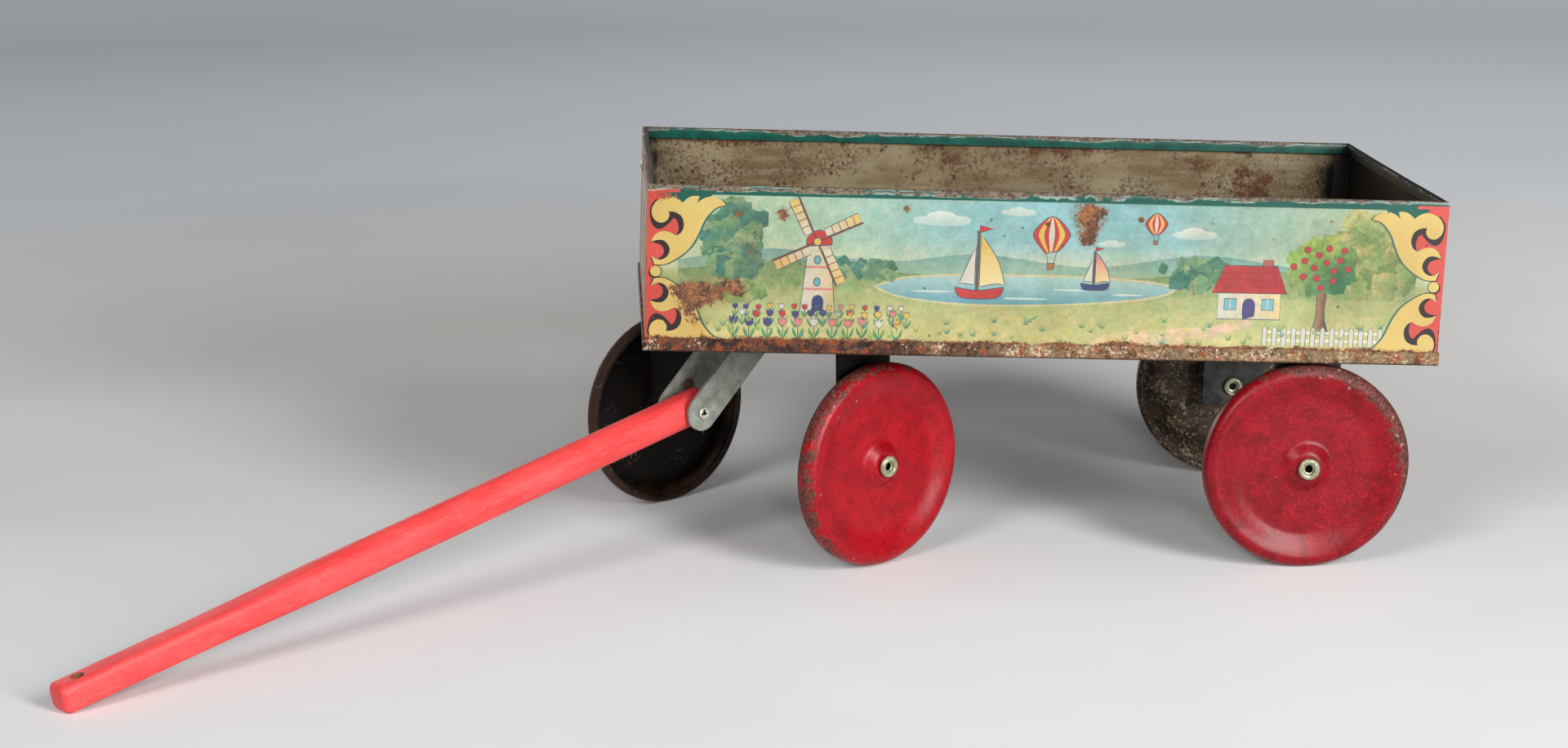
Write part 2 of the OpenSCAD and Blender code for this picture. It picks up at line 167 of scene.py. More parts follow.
def calc(operation, a, b=0.0, c=0.0):
    return add(tree_of(a, b, c), "ShaderNodeMath", {0: a, 1: b, 2: c}, operation=operation).outputs[0]


def times(a, b):
    return calc("MULTIPLY", a, b)


def muladd(a, b, c):
    """a times b, plus c."""
    return calc("MULTIPLY_ADD", a, b, c)


def scaled(colour, amount):
    inputs = {0: colour, "Scale": amount}
    return add(tree_of(colour), "ShaderNodeVectorMath", inputs, operation="SCALE").outputs[0]


def mixed(factor, a, b, how="MIX"):
    """Two colours mixed, each a socket or a linear RGBA value."""
    return add(tree_of(factor, a, b), "ShaderNodeMix", {0: factor, 6: a, 7: b}, data_type="RGBA",
               blend_type=how).outputs[2]


def between(value, low, high, to_low=0.0, to_high=1.0):
    """A soft step: to_low at low, to_high at high."""
    return add(value.id_data, "ShaderNodeMapRange", {0: value, 1: low, 2: high, 3: to_low, 4: to_high},
               interpolation_type="SMOOTHSTEP").outputs[0]


def laid(below, colour, value, low, high, most=1.0):
    """A colour laid over another where a value passes a soft step."""
    return mixed(between(value, low, high, 0.0, most), below, colour)


def cloudy(where, size, detail=3.0, rough=0.55, twist=0.0):
    """Noise about 0.5 whose features are about size millimetres across."""
    return add(where.id_data, "ShaderNodeTexNoise", {
        "Vector": where, "Scale": 1 / (size * MM), "Detail": detail, "Roughness": rough,
        "Distortion": twist}).outputs["Fac"]


def ripple(where, size, detail=3.0):
    """The same noise about zero."""
    return calc("SUBTRACT", cloudy(where, size, detail), 0.5)


def stretched(where, scale, turn=(0.0, 0.0, 0.0)):
    """Coordinates turned and squeezed, for grain and streaks."""
    return add(where.id_data, "ShaderNodeMapping", {0: where, 2: turn, 3: scale}).outputs[0]


def srgb(r, g, b, alpha=1.0):
    """A colour as the eye names it, 0 to 255, turned to linear light."""
    parts = [c / 255 for c in (r, g, b)]
    return (*[c / 12.92 if c <= 0.04045 else ((c + 0.055) / 1.055) ** 2.4 for c in parts], alpha)


def join(source, target):
    source.id_data.links.new(source, target)


print("helpers ready")

# %% [markdown]
# Rust on this tin comes as blooms: a soft-edged brown stain, then a crust of orange and near-black
# grains. One group makes it for every metal piece. Likelihood says how much of a place has rusted, and
# noise of two sizes decides where.

# %% Shader group: rust
def group(name, inputs, outputs):
    """A new shader group with its sockets, given as label and type."""
    tree = bpy.data.node_groups.new(name, "ShaderNodeTree")
    for direction, sockets in (("INPUT", inputs), ("OUTPUT", outputs)):
        for label, kind in sockets.items():
            tree.interface.new_socket(label, in_out=direction, socket_type="NodeSocket" + kind)
    return tree, add(tree, "NodeGroupInput").outputs, add(tree, "NodeGroupOutput").inputs


def rust_group():
    tree, given, result = group("Rust bloom", {"Position": "Vector", "Likelihood": "Float"},
                                {"Crust": "Float", "Stain": "Float", "Colour": "Color", "Height": "Float"})
    where = given["Position"]
    coarse = cloudy(where, 8, detail=5, rough=0.62, twist=0.4)
    fine = cloudy(where, 1.1, detail=4, rough=0.7)
    both = muladd(coarse, 0.5, times(fine, 0.5))
    over = calc("SUBTRACT", both, muladd(given["Likelihood"], -0.52, 0.8))
    grain = cloudy(where, 0.7, detail=4, rough=0.75)
    hue = cloudy(where, 2.6, detail=4)
    warm = laid(srgb(78, 48, 36), srgb(134, 84, 48), hue, 0.36, 0.64)
    pale = laid(warm, srgb(172, 134, 96), grain, 0.56, 0.68)
    dark = laid(pale, srgb(44, 27, 24), grain, 0.47, 0.36)
    join(between(over, -0.012, 0.03), result["Crust"])
    join(between(over, -0.10, 0.03), result["Stain"])
    join(dark, result["Colour"])
    join(times(between(over, -0.02, 0.1), grain), result["Height"])
    return tree


RUST = rust_group()
print("group", RUST.name)

# %% [markdown]
# Old tin and old paint are speckled too: fly spots, pits and pale flecks. A Voronoi cell gives each
# speck a centre, and the cell's random colour decides whether the speck is there, and how big it is.

# %% Shader group: specks
def specks_group():
    tree, given, result = group("Specks", {"Position": "Vector", "Size": "Float", "Amount": "Float"},
                                {"Mask": "Float"})
    scale = calc("DIVIDE", 1.0, given["Size"])
    wobble = add(tree, "ShaderNodeTexNoise", {"Vector": given["Position"], "Scale": scale})
    reach = times(given["Size"], 0.45)
    bent = scaled(wobble.outputs["Color"], reach)
    where = add(tree, "ShaderNodeVectorMath", {0: given["Position"], 1: bent}).outputs[0]
    cell = add(tree, "ShaderNodeTexVoronoi", {"Vector": where, "Scale": scale}).outputs
    draw = add(tree, "ShaderNodeSeparateColor", {0: cell["Color"]}).outputs
    shown = calc("LESS_THAN", draw[0], given["Amount"])
    radius = muladd(draw[1], 0.3, 0.1)
    inside = between(calc("SUBTRACT", radius, cell["Distance"]), -0.05, 0.06)
    join(times(shown, inside), result["Mask"])
    return tree


SPECKS = specks_group()


def use(shared, inputs):
    """Places a shared group in a finish, and returns its outputs."""
    return add(tree_of(*inputs.values()), "ShaderNodeGroup", inputs, node_tree=shared).outputs


def rusting(where, likelihood):
    return use(RUST, {"Position": where, "Likelihood": likelihood})


def specks(where, size, amount):
    return use(SPECKS, {"Position": where, "Size": size * MM, "Amount": amount})["Mask"]


print("group", SPECKS.name)

# %% [markdown]
# The tray's picture is a chromolithograph: flat inks and soft ones laid by crayon and dots on a stone.
# The group breaks an ink up in that way. Dab says how loosely the ink was laid: none for the hard
# ornament, most for leaves and grass.

# %% Shader group: litho ink
def litho_group():
    tree, given, result = group("Litho ink", {"Position": "Vector", "Ink": "Color", "Dab": "Float"},
                                {"Colour": "Color"})
    where = given["Position"]
    crayon = ripple(where, 1.1, detail=3)
    touch = ripple(where, 3.2, detail=2)
    dots = ripple(where, 0.28, detail=1)
    loose = muladd(touch, 1.1, times(crayon, 1.3))
    tone = muladd(times(loose, given["Dab"]), 1.0, muladd(dots, 0.28, 1.0))
    toned = scaled(given["Ink"], tone)
    hue = times(between(cloudy(where, 4.5), 0.4, 0.6), given["Dab"])
    cool = mixed(1.0, toned, srgb(196, 240, 226), "MULTIPLY")
    join(mixed(hue, toned, cool), result["Colour"])
    return tree


LITHO = litho_group()
print("group", LITHO.name)

# %% [markdown]
# The finishes follow, one function each. A finish starts from a Principled shader and Object
# coordinates, and ends by joining its colour, roughness and height to the shader.

# %% A new finish
def new_finish(name):
    """A material, its tree, its shader and the Object coordinates."""
    made = bpy.data.materials.new(name)
    made.use_nodes = True
    tree = made.node_tree
    where = add(tree, "ShaderNodeTexCoord").outputs["Object"]
    return made, tree, tree.nodes["Principled BSDF"], where


def attribute(tree, name, output="Fac"):
    return add(tree, "ShaderNodeAttribute", attribute_name=name).outputs[output]


def surface(shader, colour, rough, height=None, depth=0.1, metal=None, gloss=None):
    """Joins a finish to its shader. Depth is the height of the bumps in millimetres."""
    join(colour, shader.inputs["Base Color"])
    join(rough, shader.inputs["Roughness"])
    if gloss is not None:
        shader.inputs["Specular IOR Level"].default_value = gloss
    if metal is not None:
        join(metal, shader.inputs["Metallic"])
    if height is not None:
        inputs = {"Height": height, "Strength": 1.0, "Distance": depth * MM}
        bump = add(shader.id_data, "ShaderNodeBump", inputs)
        join(bump.outputs[0], shader.inputs["Normal"])


print("finish helper ready")

# %% [markdown]
# Printed tin: the inks are a colour attribute on the wall's mesh, because the picture is drawn there as
# shapes. The rust attribute says where damp got in. The edge attribute is the distance from the crest of
# the folded top, in metres, shortened where the toy was scuffed: ink and varnish are rubbed off up to a
# wavy line some way down from the crest, and a pale seam of lifted varnish follows that line.

# %% Shader group: rubbed edge
def rubbed_group():
    tree, given, result = group("Rubbed edge", {"Position": "Vector", "Edge": "Float", "Width": "Float"},
                                {"Bare": "Float", "Seam": "Float", "Colour": "Color"})
    where = given["Position"]
    wave = ripple(where, 11, detail=2)
    bite = ripple(where, 2.2, detail=3)
    line = muladd(wave, 3.6 * MM, muladd(bite, 1.2 * MM, given["Width"]))
    past = calc("SUBTRACT", given["Edge"], line)
    bare = between(past, 0.08 * MM, -0.08 * MM)
    seam = calc("SUBTRACT", between(past, 0.50 * MM, 0.36 * MM), bare)
    seen = between(cloudy(where, 6), 0.42, 0.54)
    grain = cloudy(where, 1.1, detail=4, rough=0.7)
    tin = laid(srgb(56, 43, 33), srgb(116, 101, 83), grain, 0.38, 0.6)
    join(bare, result["Bare"])
    join(times(seam, seen), result["Seam"])
    join(tin, result["Colour"])
    return tree


RUBBED = rubbed_group()
SEAM = srgb(150, 164, 154)


def rubbing(where, width):
    edge = attribute(where.id_data, "edge")
    return use(RUBBED, {"Position": where, "Edge": edge, "Width": width})


print("group", RUBBED.name)

# %% Finish: printed tin
def printed_tin():
    made, tree, shader, where = new_finish("printed_tin")
    ink = use(LITHO, {"Position": where, "Ink": attribute(tree, "ink", "Color"),
                      "Dab": attribute(tree, "ink", "Alpha")})["Colour"]
    varnish = laid(srgb(212, 210, 212), srgb(198, 190, 182), cloudy(where, 30), 0.35, 0.7)
    aged = mixed(1.0, ink, varnish, "MULTIPLY")
    flecks = specks(where, 1.4, 0.012)
    spotted = mixed(times(flecks, 0.7), aged, srgb(72, 50, 42))
    rubbed = rubbing(where, 1.25 * MM)
    seamed = mixed(times(rubbed["Seam"], 0.65), spotted, SEAM)
    flaked = mixed(rubbed["Bare"], seamed, rubbed["Colour"])
    rust = rusting(where, attribute(tree, "rust"))
    stained = mixed(times(rust["Stain"], 0.55), flaked, srgb(196, 140, 84), "MULTIPLY")
    colour = mixed(rust["Crust"], stained, rust["Colour"])
    worn = calc("MAXIMUM", rust["Crust"], rubbed["Bare"])
    rough = between(worn, 0.0, 1.0, 0.36, 0.80)
    buckle = times(cloudy(where, 45, detail=1), 2.0)
    relief = muladd(rubbed["Bare"], -0.25, times(rubbed["Seam"], 0.3))
    height = calc("ADD", calc("ADD", buckle, rust["Height"]), relief)
    surface(shader, colour, rough, height, depth=0.25, gloss=0.45)
    return made


PRINT_FINISH = printed_tin()
print("finish", PRINT_FINISH.name)

# %% [markdown]
# The folded edge is a dark green enamel with the same rubbed crest. Away from the light, in the rear of
# the tray and in its corners, painted shade with some tarnish darkens everything nearly black; an attribute says
# where.

# %% Finish: green safe edge
def green_edge():
    made, tree, shader, where = new_finish("green_edge")
    shade = laid(srgb(0, 58, 50), srgb(4, 80, 68), cloudy(where, 7), 0.35, 0.65)
    rubbed = rubbing(where, 0.9 * MM)
    seamed = mixed(times(rubbed["Seam"], 0.65), shade, SEAM)
    flaked = mixed(rubbed["Bare"], seamed, rubbed["Colour"])
    rust = rusting(where, attribute(tree, "rust"))
    rusted = mixed(rust["Crust"], flaked, rust["Colour"])
    # Painted shade with some tarnish: the edge is darkened towards the rear of the tray and in its corners.
    colour = mixed(attribute(tree, "tarnish"), rusted, srgb(44, 56, 48), "MULTIPLY")
    rough = between(calc("MAXIMUM", rubbed["Bare"], rust["Crust"]), 0.0, 1.0, 0.32, 0.72)
    relief = muladd(rubbed["Bare"], -0.4, times(rubbed["Seam"], 0.5))
    surface(shader, colour, rough, calc("ADD", rust["Height"], relief), depth=0.12)
    return made


EDGE_FINISH = green_edge()
print("finish", EDGE_FINISH.name)

# %% [markdown]
# Inside, the tin was never printed. It has dulled to an olive grey-brown and is peppered with brown
# pits, which gather in clouds, with a few larger dark spots and rust blooms under the folded edge.

# %% Finish: bare tin
def bare_tin():
    made, tree, shader, where = new_finish("bare_tin")
    base = laid(srgb(128, 115, 90), srgb(100, 83, 58), cloudy(where, 24, detail=4), 0.34, 0.66)
    streak = cloudy(stretched(where, (0.15, 0.15, 1.0)), 3, detail=4)
    drawn = laid(base, srgb(140, 132, 110), streak, 0.42, 0.62, 0.35)
    cloud = between(cloudy(where, 15, detail=3), 0.38, 0.66)
    dust_at = muladd(cloud, 0.13, cloudy(where, 1.0, detail=5, rough=0.72))
    dusted = laid(drawn, srgb(80, 58, 40), dust_at, 0.58, 0.68, 0.8)
    small = specks(where, 1.9, 0.34)
    peppered = times(small, between(cloud, 0.0, 1.0, 0.3, 0.95))
    large = between(cloudy(where, 10, detail=6, rough=0.66), 0.685, 0.71)
    spotted = mixed(calc("MAXIMUM", peppered, times(large, 0.85)), dusted, srgb(60, 40, 30))
    rust = rusting(where, attribute(tree, "rust"))
    stained = mixed(times(rust["Stain"], 0.6), spotted, srgb(176, 140, 100), "MULTIPLY")
    browned = mixed(0.65, rust["Colour"], srgb(62, 42, 32))
    rusted = mixed(times(rust["Crust"], 0.9), stained, browned)
    # Painted shade with some tarnish: the tin goes nearly black towards the rear of the tray and in its corners.
    tarnish_and_shade_at = muladd(cloudy(where, 7, detail=4), 0.8, attribute(tree, "tarnish"))
    colour = laid(rusted, srgb(15, 11, 8), tarnish_and_shade_at, 0.55, 1.0)
    rough = between(calc("MAXIMUM", rust["Crust"], large), 0.0, 1.0, 0.50, 0.82)
    surface(shader, colour, rough, rust["Height"], depth=0.15, gloss=0.2)
    return made


TIN_FINISH = bare_tin()
print("finish", TIN_FINISH.name)

# %% [markdown]
# The pan's lip has stood in the wet. It is a brown crust at the front and turns paler towards the rear,
# where old tin shows through in patches of cream and olive between orange bloom. The edge attribute is
# the height above the bend, which is darkest.

# %% Finish: rusted pan
def rusted_pan():
    made, tree, shader, where = new_finish("rusted_pan")
    along = add(tree, "ShaderNodeSeparateXYZ", {0: where}).outputs["X"]
    swing = ripple(where, 20, detail=4)
    rearward = between(muladd(swing, 0.2, along), 0.04, 0.1)
    grain = cloudy(where, 1.1, detail=5, rough=0.75)
    crust = cloudy(where, 3.4, detail=6, rough=0.68, twist=0.5)
    brown = laid(srgb(34, 20, 17), srgb(84, 52, 38), crust, 0.4, 0.6)
    tan = laid(srgb(74, 47, 32), srgb(132, 108, 80), crust, 0.34, 0.58)
    ground = mixed(rearward, brown, tan)
    orange = between(cloudy(where, 2.6, detail=6, rough=0.68), 0.52, 0.60, 0.0, 0.88)
    bloom = mixed(orange, ground, srgb(128, 64, 31))
    moss = between(cloudy(where, 4.4, detail=6, rough=0.68), 0.54, 0.62, 0.0, 0.75)
    olive = mixed(times(rearward, moss), bloom, srgb(88, 86, 60))
    patches = ripple(where, 7, detail=3)
    corner = between(along, -0.028, -0.042, -0.04, 0.06)
    bared = muladd(rearward, 0.07, muladd(patches, 0.45, corner))
    cream = laid(olive, srgb(194, 174, 146), calc("ADD", grain, bared), 0.58, 0.66, 0.78)
    pitted = laid(cream, srgb(30, 18, 15), grain, 0.44, 0.36, 0.85)
    foot = between(attribute(tree, "edge"), 0.9 * MM, 0.2 * MM, 0.0, 0.8)
    rough = between(grain, 0.3, 0.7, 0.55, 0.85)
    height = muladd(grain, 1.4, crust)
    surface(shader, mixed(foot, pitted, srgb(36, 24, 20)), rough, height, depth=0.16, gloss=0.25)
    return made


PAN_FINISH = rusted_pan()
print("finish", PAN_FINISH.name)

# %% [markdown]
# The wheels were dipped in crimson enamel. Its red is painted lighter on the front wheels and darker on the
# rear ones, as painted light and shade. It is mottled, with a fine grain of dark specks, and the rims have
# worn through to brown metal. The backs were left as dark tin with pale flecks; at the front they are painted
# nearly black, with fewer flecks, as painted shade. The ring attribute is the distance from the axle, so wear
# can follow the rim, and the worn attribute is highest on the side of the rim that was knocked most.

# %% Finish: crimson wheel
def crimson_wheel():
    made, tree, shader, where = new_finish("crimson_wheel")
    ring = calc("DIVIDE", attribute(tree, "ring"), float(wheel_high[0]) * MM)
    mottle = cloudy(where, 7, detail=6, rough=0.62, twist=0.6)
    rearward = between(add(tree, "ShaderNodeSeparateXYZ", {0: where}).outputs["X"], 0.06, 0.12)
    # Painted light and shade: the front wheels get a lighter red, the rear wheels a darker one.
    lit_front_red = laid(srgb(130, 6, 17), srgb(158, 9, 25), mottle, 0.3, 0.7)
    shaded_rear_red = laid(srgb(104, 5, 15), srgb(134, 8, 23), mottle, 0.3, 0.7)
    red_lit_and_shaded = mixed(rearward, lit_front_red, shaded_rear_red)
    fine = cloudy(where, 0.9, detail=5, rough=0.75)
    rubbed = laid(red_lit_and_shaded, srgb(178, 28, 44), fine, 0.52, 0.68, 0.6)
    grimed = laid(rubbed, srgb(60, 8, 13), fine, 0.46, 0.32, 0.7)
    dull = between(cloudy(where, 2.6, detail=5, rough=0.72), 0.58, 0.68, 0.0, 0.5)
    stain = mixed(dull, grimed, srgb(78, 18, 19))
    knocked = muladd(attribute(tree, "worn"), 0.5, -0.8)
    patch = muladd(cloudy(where, 4.5, detail=5, rough=0.68), 1.6, knocked)
    near_rim = between(ring, 0.74, 0.95)
    edge = between(ring, 0.915, 0.97, 0.0, 0.26)
    worn_at = muladd(near_rim, patch, muladd(fine, 0.5, edge))
    worn = between(worn_at, 0.52, 0.72, 0.0, 0.92)
    grain = cloudy(where, 0.9, detail=4, rough=0.7)
    brown = laid(srgb(58, 29, 24), srgb(102, 62, 52), grain, 0.4, 0.6)
    scraped = mixed(worn, stain, brown)
    chance = muladd(times(near_rim, attribute(tree, "worn")), 0.1, 0.003)
    chips = specks(where, 1.6, chance)
    painted = mixed(times(chips, 0.7), scraped, srgb(164, 118, 104))
    damp = cloudy(where, 8, detail=4)
    # Painted shade: the backs of the front wheels are painted nearly black, the rear ones olive tin with more
    # flecks.
    shaded_front_back = laid(srgb(5, 2, 0), srgb(18, 9, 3), damp, 0.36, 0.62)
    olive = laid(srgb(36, 28, 19), srgb(74, 60, 44), damp, 0.36, 0.62)
    rim_at = muladd(calc("SUBTRACT", damp, 0.5), 0.3, ring)
    browned = between(rim_at, 0.86, 0.99, 0.0, 0.75)
    tin = mixed(browned, mixed(rearward, shaded_front_back, olive), srgb(58, 38, 25))
    gathered = muladd(cloudy(where, 9, detail=3), 0.34, -0.19)
    flecks_at = calc("ADD", cloudy(where, 1.2, detail=5, rough=0.75), muladd(rearward, 0.09, gathered))
    flecked = laid(tin, srgb(146, 136, 116), flecks_at, 0.62, 0.67, 0.8)
    seam = muladd(calc("SUBTRACT", grain, 0.5), 0.9, attribute(tree, "back"))
    inside = between(seam, 0.42, 0.58)
    bare = calc("MAXIMUM", worn, inside)
    rough = between(bare, 0.0, 1.0, 0.32, 0.62)
    bumps = muladd(mottle, 0.5, times(fine, 0.35))
    height = calc("SUBTRACT", bumps, times(calc("MAXIMUM", worn, chips), 0.4))
    surface(shader, mixed(inside, painted, flecked), rough, height, depth=0.12, gloss=0.25)
    return made


WHEEL_FINISH = crimson_wheel()
print("finish", WHEEL_FINISH.name)

# %% [markdown]
# The plain metals. The bolsters are dark steel with a blue-grey bloom; the front one is painted nearly black
# as painted shade. The yoke is galvanised, so it shows soft grey spangle; the rivets are plated brass gone
# dull and greenish, with painted shade dark in the bore. They differ only in colours and sizes, so one
# function makes them all.

# %% Finish: plain metals
def plain_metal(name, low, high, size, rough, metal, rust_amount, bore=None, gloss=0.4):
    """A dull metal. Bore is the radius of a rivet's hole, whose inside is painted dark as shade, in millimetres.
    """
    made, tree, shader, where = new_finish(name)
    spangle = cloudy(where, size, detail=4, rough=0.6, twist=0.5)
    base = laid(low, high, spangle, 0.3, 0.7)
    fine = cloudy(where, size / 6, detail=3)
    rubbed = laid(base, high, fine, 0.55, 0.75, 0.4)
    rust = rusting(where, rust_amount)
    stained = mixed(times(rust["Stain"], 0.5), rubbed, srgb(168, 132, 104), "MULTIPLY")
    colour = mixed(rust["Crust"], stained, rust["Colour"])
    if bore:
        # Painted shade: the inside of the bore is painted nearly black.
        bore_shade = between(attribute(tree, "ring"), (bore + 0.12) * MM, (bore + 0.02) * MM)
        colour = mixed(bore_shade, colour, srgb(16, 13, 10))
    roughness = muladd(spangle, 0.25, muladd(rust["Crust"], 0.3, rough - 0.12))
    shine = between(rust["Stain"], 0.0, 1.0, metal, 0.05)
    height = muladd(spangle, 0.6, rust["Height"])
    surface(shader, colour, roughness, height, depth=0.06, metal=shine, gloss=gloss)
    return made


HUB_BORE_R, PIVOT_BORE_R = 1.25, 0.95
CREAM_RIVET = (srgb(128, 126, 98), srgb(190, 188, 160), 3.0, 0.34, 0.4, 0.16)
STEEL_FINISH = plain_metal("dark_steel", srgb(40, 39, 37), srgb(72, 73, 72), 5.0, 0.46, 0.3, 0.26)
# Painted shade: the front bolster's steel is painted nearly black, as it sits in the wheel's shadow.
SHADED_BLACK_FINISH = plain_metal("black_steel", srgb(10, 8, 6), srgb(24, 21, 18), 5.0, 0.52, 0.05, 0.22,
                           gloss=0.12)
ZINC_FINISH = plain_metal("galvanised", srgb(121, 124, 115), srgb(151, 154, 145), 4.2, 0.50, 0.15, 0.28)
PIN_FINISH = plain_metal("dull_pin", *CREAM_RIVET)
HUB_FINISH = plain_metal("hub_rivet", *CREAM_RIVET, bore=HUB_BORE_R)
PIVOT_FINISH = plain_metal("pivot_rivet", srgb(150, 146, 128), srgb(206, 202, 186), 3.0, 0.34, 0.3, 0.12,
                           bore=PIVOT_BORE_R)
RUSTY_FINISH = plain_metal("rusty_rivet", srgb(66, 48, 38), srgb(108, 86, 70), 1.4, 0.60, 0.35, 0.62)
print("metals", STEEL_FINISH.name, ZINC_FINISH.name, HUB_FINISH.name, RUSTY_FINISH.name)

# %% [markdown]
# The handle is a planed dowel in coral enamel. The paint sank into the wood, so a fine grain shows
# lengthwise as paler streaks, and it is rubbed to a lighter pink in spots, a little more along the grip.
# The coordinates are turned to run along the handle before they are squeezed.

# %% Finish: painted handle
def painted_handle(along):
    made, tree, shader, where = new_finish("painted_handle")
    turn = along.to_track_quat("X", "Z").inverted().to_euler()
    centred = add(tree, "ShaderNodeMapping", {0: where, 2: turn}).outputs[0]
    grain = cloudy(stretched(centred, (0.12, 1.0, 1.0)), 0.6, detail=4, rough=0.7)
    fibre = cloudy(stretched(centred, (0.09, 1.0, 1.0)), 0.26, detail=3, rough=0.7)
    blotch = cloudy(stretched(centred, (0.3, 1.0, 1.0)), 9, detail=4)
    coral = laid(srgb(217, 51, 52), srgb(231, 71, 70), blotch, 0.35, 0.65)
    sunk = laid(coral, srgb(236, 106, 102), grain, 0.52, 0.7, 0.55)
    pored = laid(sunk, srgb(168, 34, 38), fibre, 0.4, 0.28, 0.5)
    grip = attribute(tree, "grip")
    rubbed_at = muladd(grip, 0.1, cloudy(where, 0.9, detail=4, rough=0.7))
    rubbed = laid(pored, srgb(232, 130, 120), rubbed_at, 0.66, 0.82, 0.55)
    grime = specks(where, 4.0, 0.03)
    dented = mixed(times(grime, 0.5), rubbed, srgb(150, 40, 40))
    wood = laid(srgb(120, 74, 52), srgb(158, 104, 72), fibre, 0.4, 0.6)
    colour = mixed(attribute(tree, "bore"), dented, wood)
    rough = between(grain, 0.3, 0.7, 0.42, 0.62)
    height = muladd(fibre, 0.6, grain)
    surface(shader, colour, rough, height, depth=0.09)
    return made


handle_along = Vector(mounts["cord_hole"]["pos_m"]) - Vector(joints["handle_lift"]["pos_m"])
HANDLE_FINISH = painted_handle(handle_along)
print("finish", HANDLE_FINISH.name)

# %% [markdown]
# The picture on the sides is drawn as shapes, laid over each other in order like the inks of a print.
# It is a plain country scene of this lesson's own: a mill, a lake with boats, balloons and a cottage.
# Shapes give crisp edges at any distance, and a triangulation turns them into one flat mesh whose
# triangles each know their topmost ink. Drawing helpers come first.

# %% Drawing helpers
class Picture:
    """Shapes laid over each other on a panel, in millimetres, with the ground ink below them."""

    def __init__(self, width, height, ground):
        self.width, self.height = width, height
        self.outlines, self.inks = [], [(ground, 0.35)]

    def lay(self, outline, ink, dab=0.0):
        """Adds a shape. Its ink is a colour, or a rule that gives a colour at (u, v)."""
        p = np.array(outline, float)
        ahead = np.roll(p, -1, 0)
        turning = np.sum(p[:, 0] * ahead[:, 1] - p[:, 1] * ahead[:, 0])
        self.outlines.append(outline if turning > 0 else outline[::-1])
        self.inks.append((ink if callable(ink) else lambda u, v: ink, dab))


def smooth(points, steps=5):
    """An open curve through points."""
    p = [np.array(q, float) for q in points]
    p = [2 * p[0] - p[1]] + p + [2 * p[-1] - p[-2]]
    curve = []
    for a, b, c, d in zip(p, p[1:], p[2:], p[3:]):
        for t in np.arange(steps) / steps:
            bend = 2 * a - 5 * b + 4 * c - d + t * (3 * (b - c) + d - a)
            curve.append(b + 0.5 * t * (c - a + t * bend))
    return [tuple(q) for q in curve] + [tuple(points[-1])]


def outline(*stretches):
    """A closed outline of smooth stretches that meet in sharp tips."""
    return [q for stretch in stretches for q in smooth(stretch)[:-1]]


def oval(centre, rx, ry, turn=0.0, count=16, lobes=0, lobed=0.0):
    """An ellipse, or a leafy clump if it has lobes."""
    points = []
    for a in np.arange(count) * 2 * math.pi / count:
        r = 1 + lobed * math.cos(lobes * a + turn * 3)
        x, y = rx * r * math.cos(a), ry * r * math.sin(a)
        points.append((centre[0] + x * math.cos(turn) - y * math.sin(turn),
                       centre[1] + x * math.sin(turn) + y * math.cos(turn)))
    return points


def box(u0, v0, u1, v1):
    return [(u0, v0), (u1, v0), (u1, v1), (u0, v1)]


def arch(u, v, half, spring, top):
    """A doorway with a rounded head."""
    left, right = u - half, u + half
    return outline([(left, v), (left, v + spring), (u, v + top), (right, v + spring), (right, v)])


def grown(points, by):
    """The outline moved outwards by a distance."""
    p = np.array(points, float)
    ahead, behind = np.roll(p, -1, 0), np.roll(p, 1, 0)
    turning = math.copysign(1, np.sum(p[:, 0] * ahead[:, 1] - p[:, 1] * ahead[:, 0]))
    along = ahead - behind
    side = np.stack([along[:, 1], -along[:, 0]], 1) * turning
    return [tuple(q) for q in p + by * side / (np.linalg.norm(side, axis=1, keepdims=True) + 1e-9)]


def moved(points, du, dv):
    return [(u + du, v + dv) for u, v in points]


def tint(first, last, share):
    return tuple(a + (b - a) * min(max(share, 0.0), 1.0) for a, b in zip(first, last))


def fade(first, last, start, end):
    """An ink that turns from one colour to another between two points."""
    du, dv = end[0] - start[0], end[1] - start[1]

    def ink(u, v):
        along = (u - start[0]) * du + (v - start[1]) * dv
        return tint(first, last, along / (du * du + dv * dv))
    return ink


LINE = srgb(44, 84, 100)


def inked(picture, points, ink, dab=0.15, line=LINE, width=0.25):
    """A shape with a drawn outline."""
    picture.lay(grown(points, width), line)
    picture.lay(points, ink, dab)


print("drawing helpers ready")

# %% [markdown]
# The land: a turquoise sky over the middle, cream at the horizon, hills in blue-green, a lake and a
# meadow that pales towards the bottom edge. Woods frame it at both ends. Leaves are lobed clumps in a
# few greens, thrown by a seeded generator so that each run draws the same wood.

# %% Sky, hills, lake and woods
SKY, CREAM = srgb(146, 192, 196), srgb(206, 208, 172)
GRASS, STRAW = srgb(164, 174, 118), srgb(208, 200, 138)
HORIZON = 26.0
PICTURE_MIDDLE = 134.0


def open_country(u, v):
    """The ground ink: meadow below the horizon and sky above it."""
    middle = math.exp(-((u - PICTURE_MIDDLE) / 66) ** 2)
    sky = tint(srgb(184, 196, 150), SKY, 0.15 + middle)
    above = tint(CREAM, sky, (v - HORIZON) / 11)
    field = tint(STRAW, GRASS, (v - 6) / 16)
    return tint(field, above, (v - HORIZON + 2) / 3)


def clouds(picture):
    for u, v, size in ((92, 43, 1.0), (116, 46, 0.6), (172, 40, 0.8), (146, 36.5, 0.5)):
        for du, dv, rx, ry in ((-5, 0, 4, 1.3), (0, 0.9, 5, 2.1), (5, 0.2, 4.4, 1.5), (1, -0.8, 8, 1.0)):
            ink = fade(srgb(178, 206, 202), srgb(214, 222, 210), (u, v - 2), (u, v + 2))
            picture.lay(oval((u + du * size, v + dv * size), rx * size, ry * size), ink, 0.2)


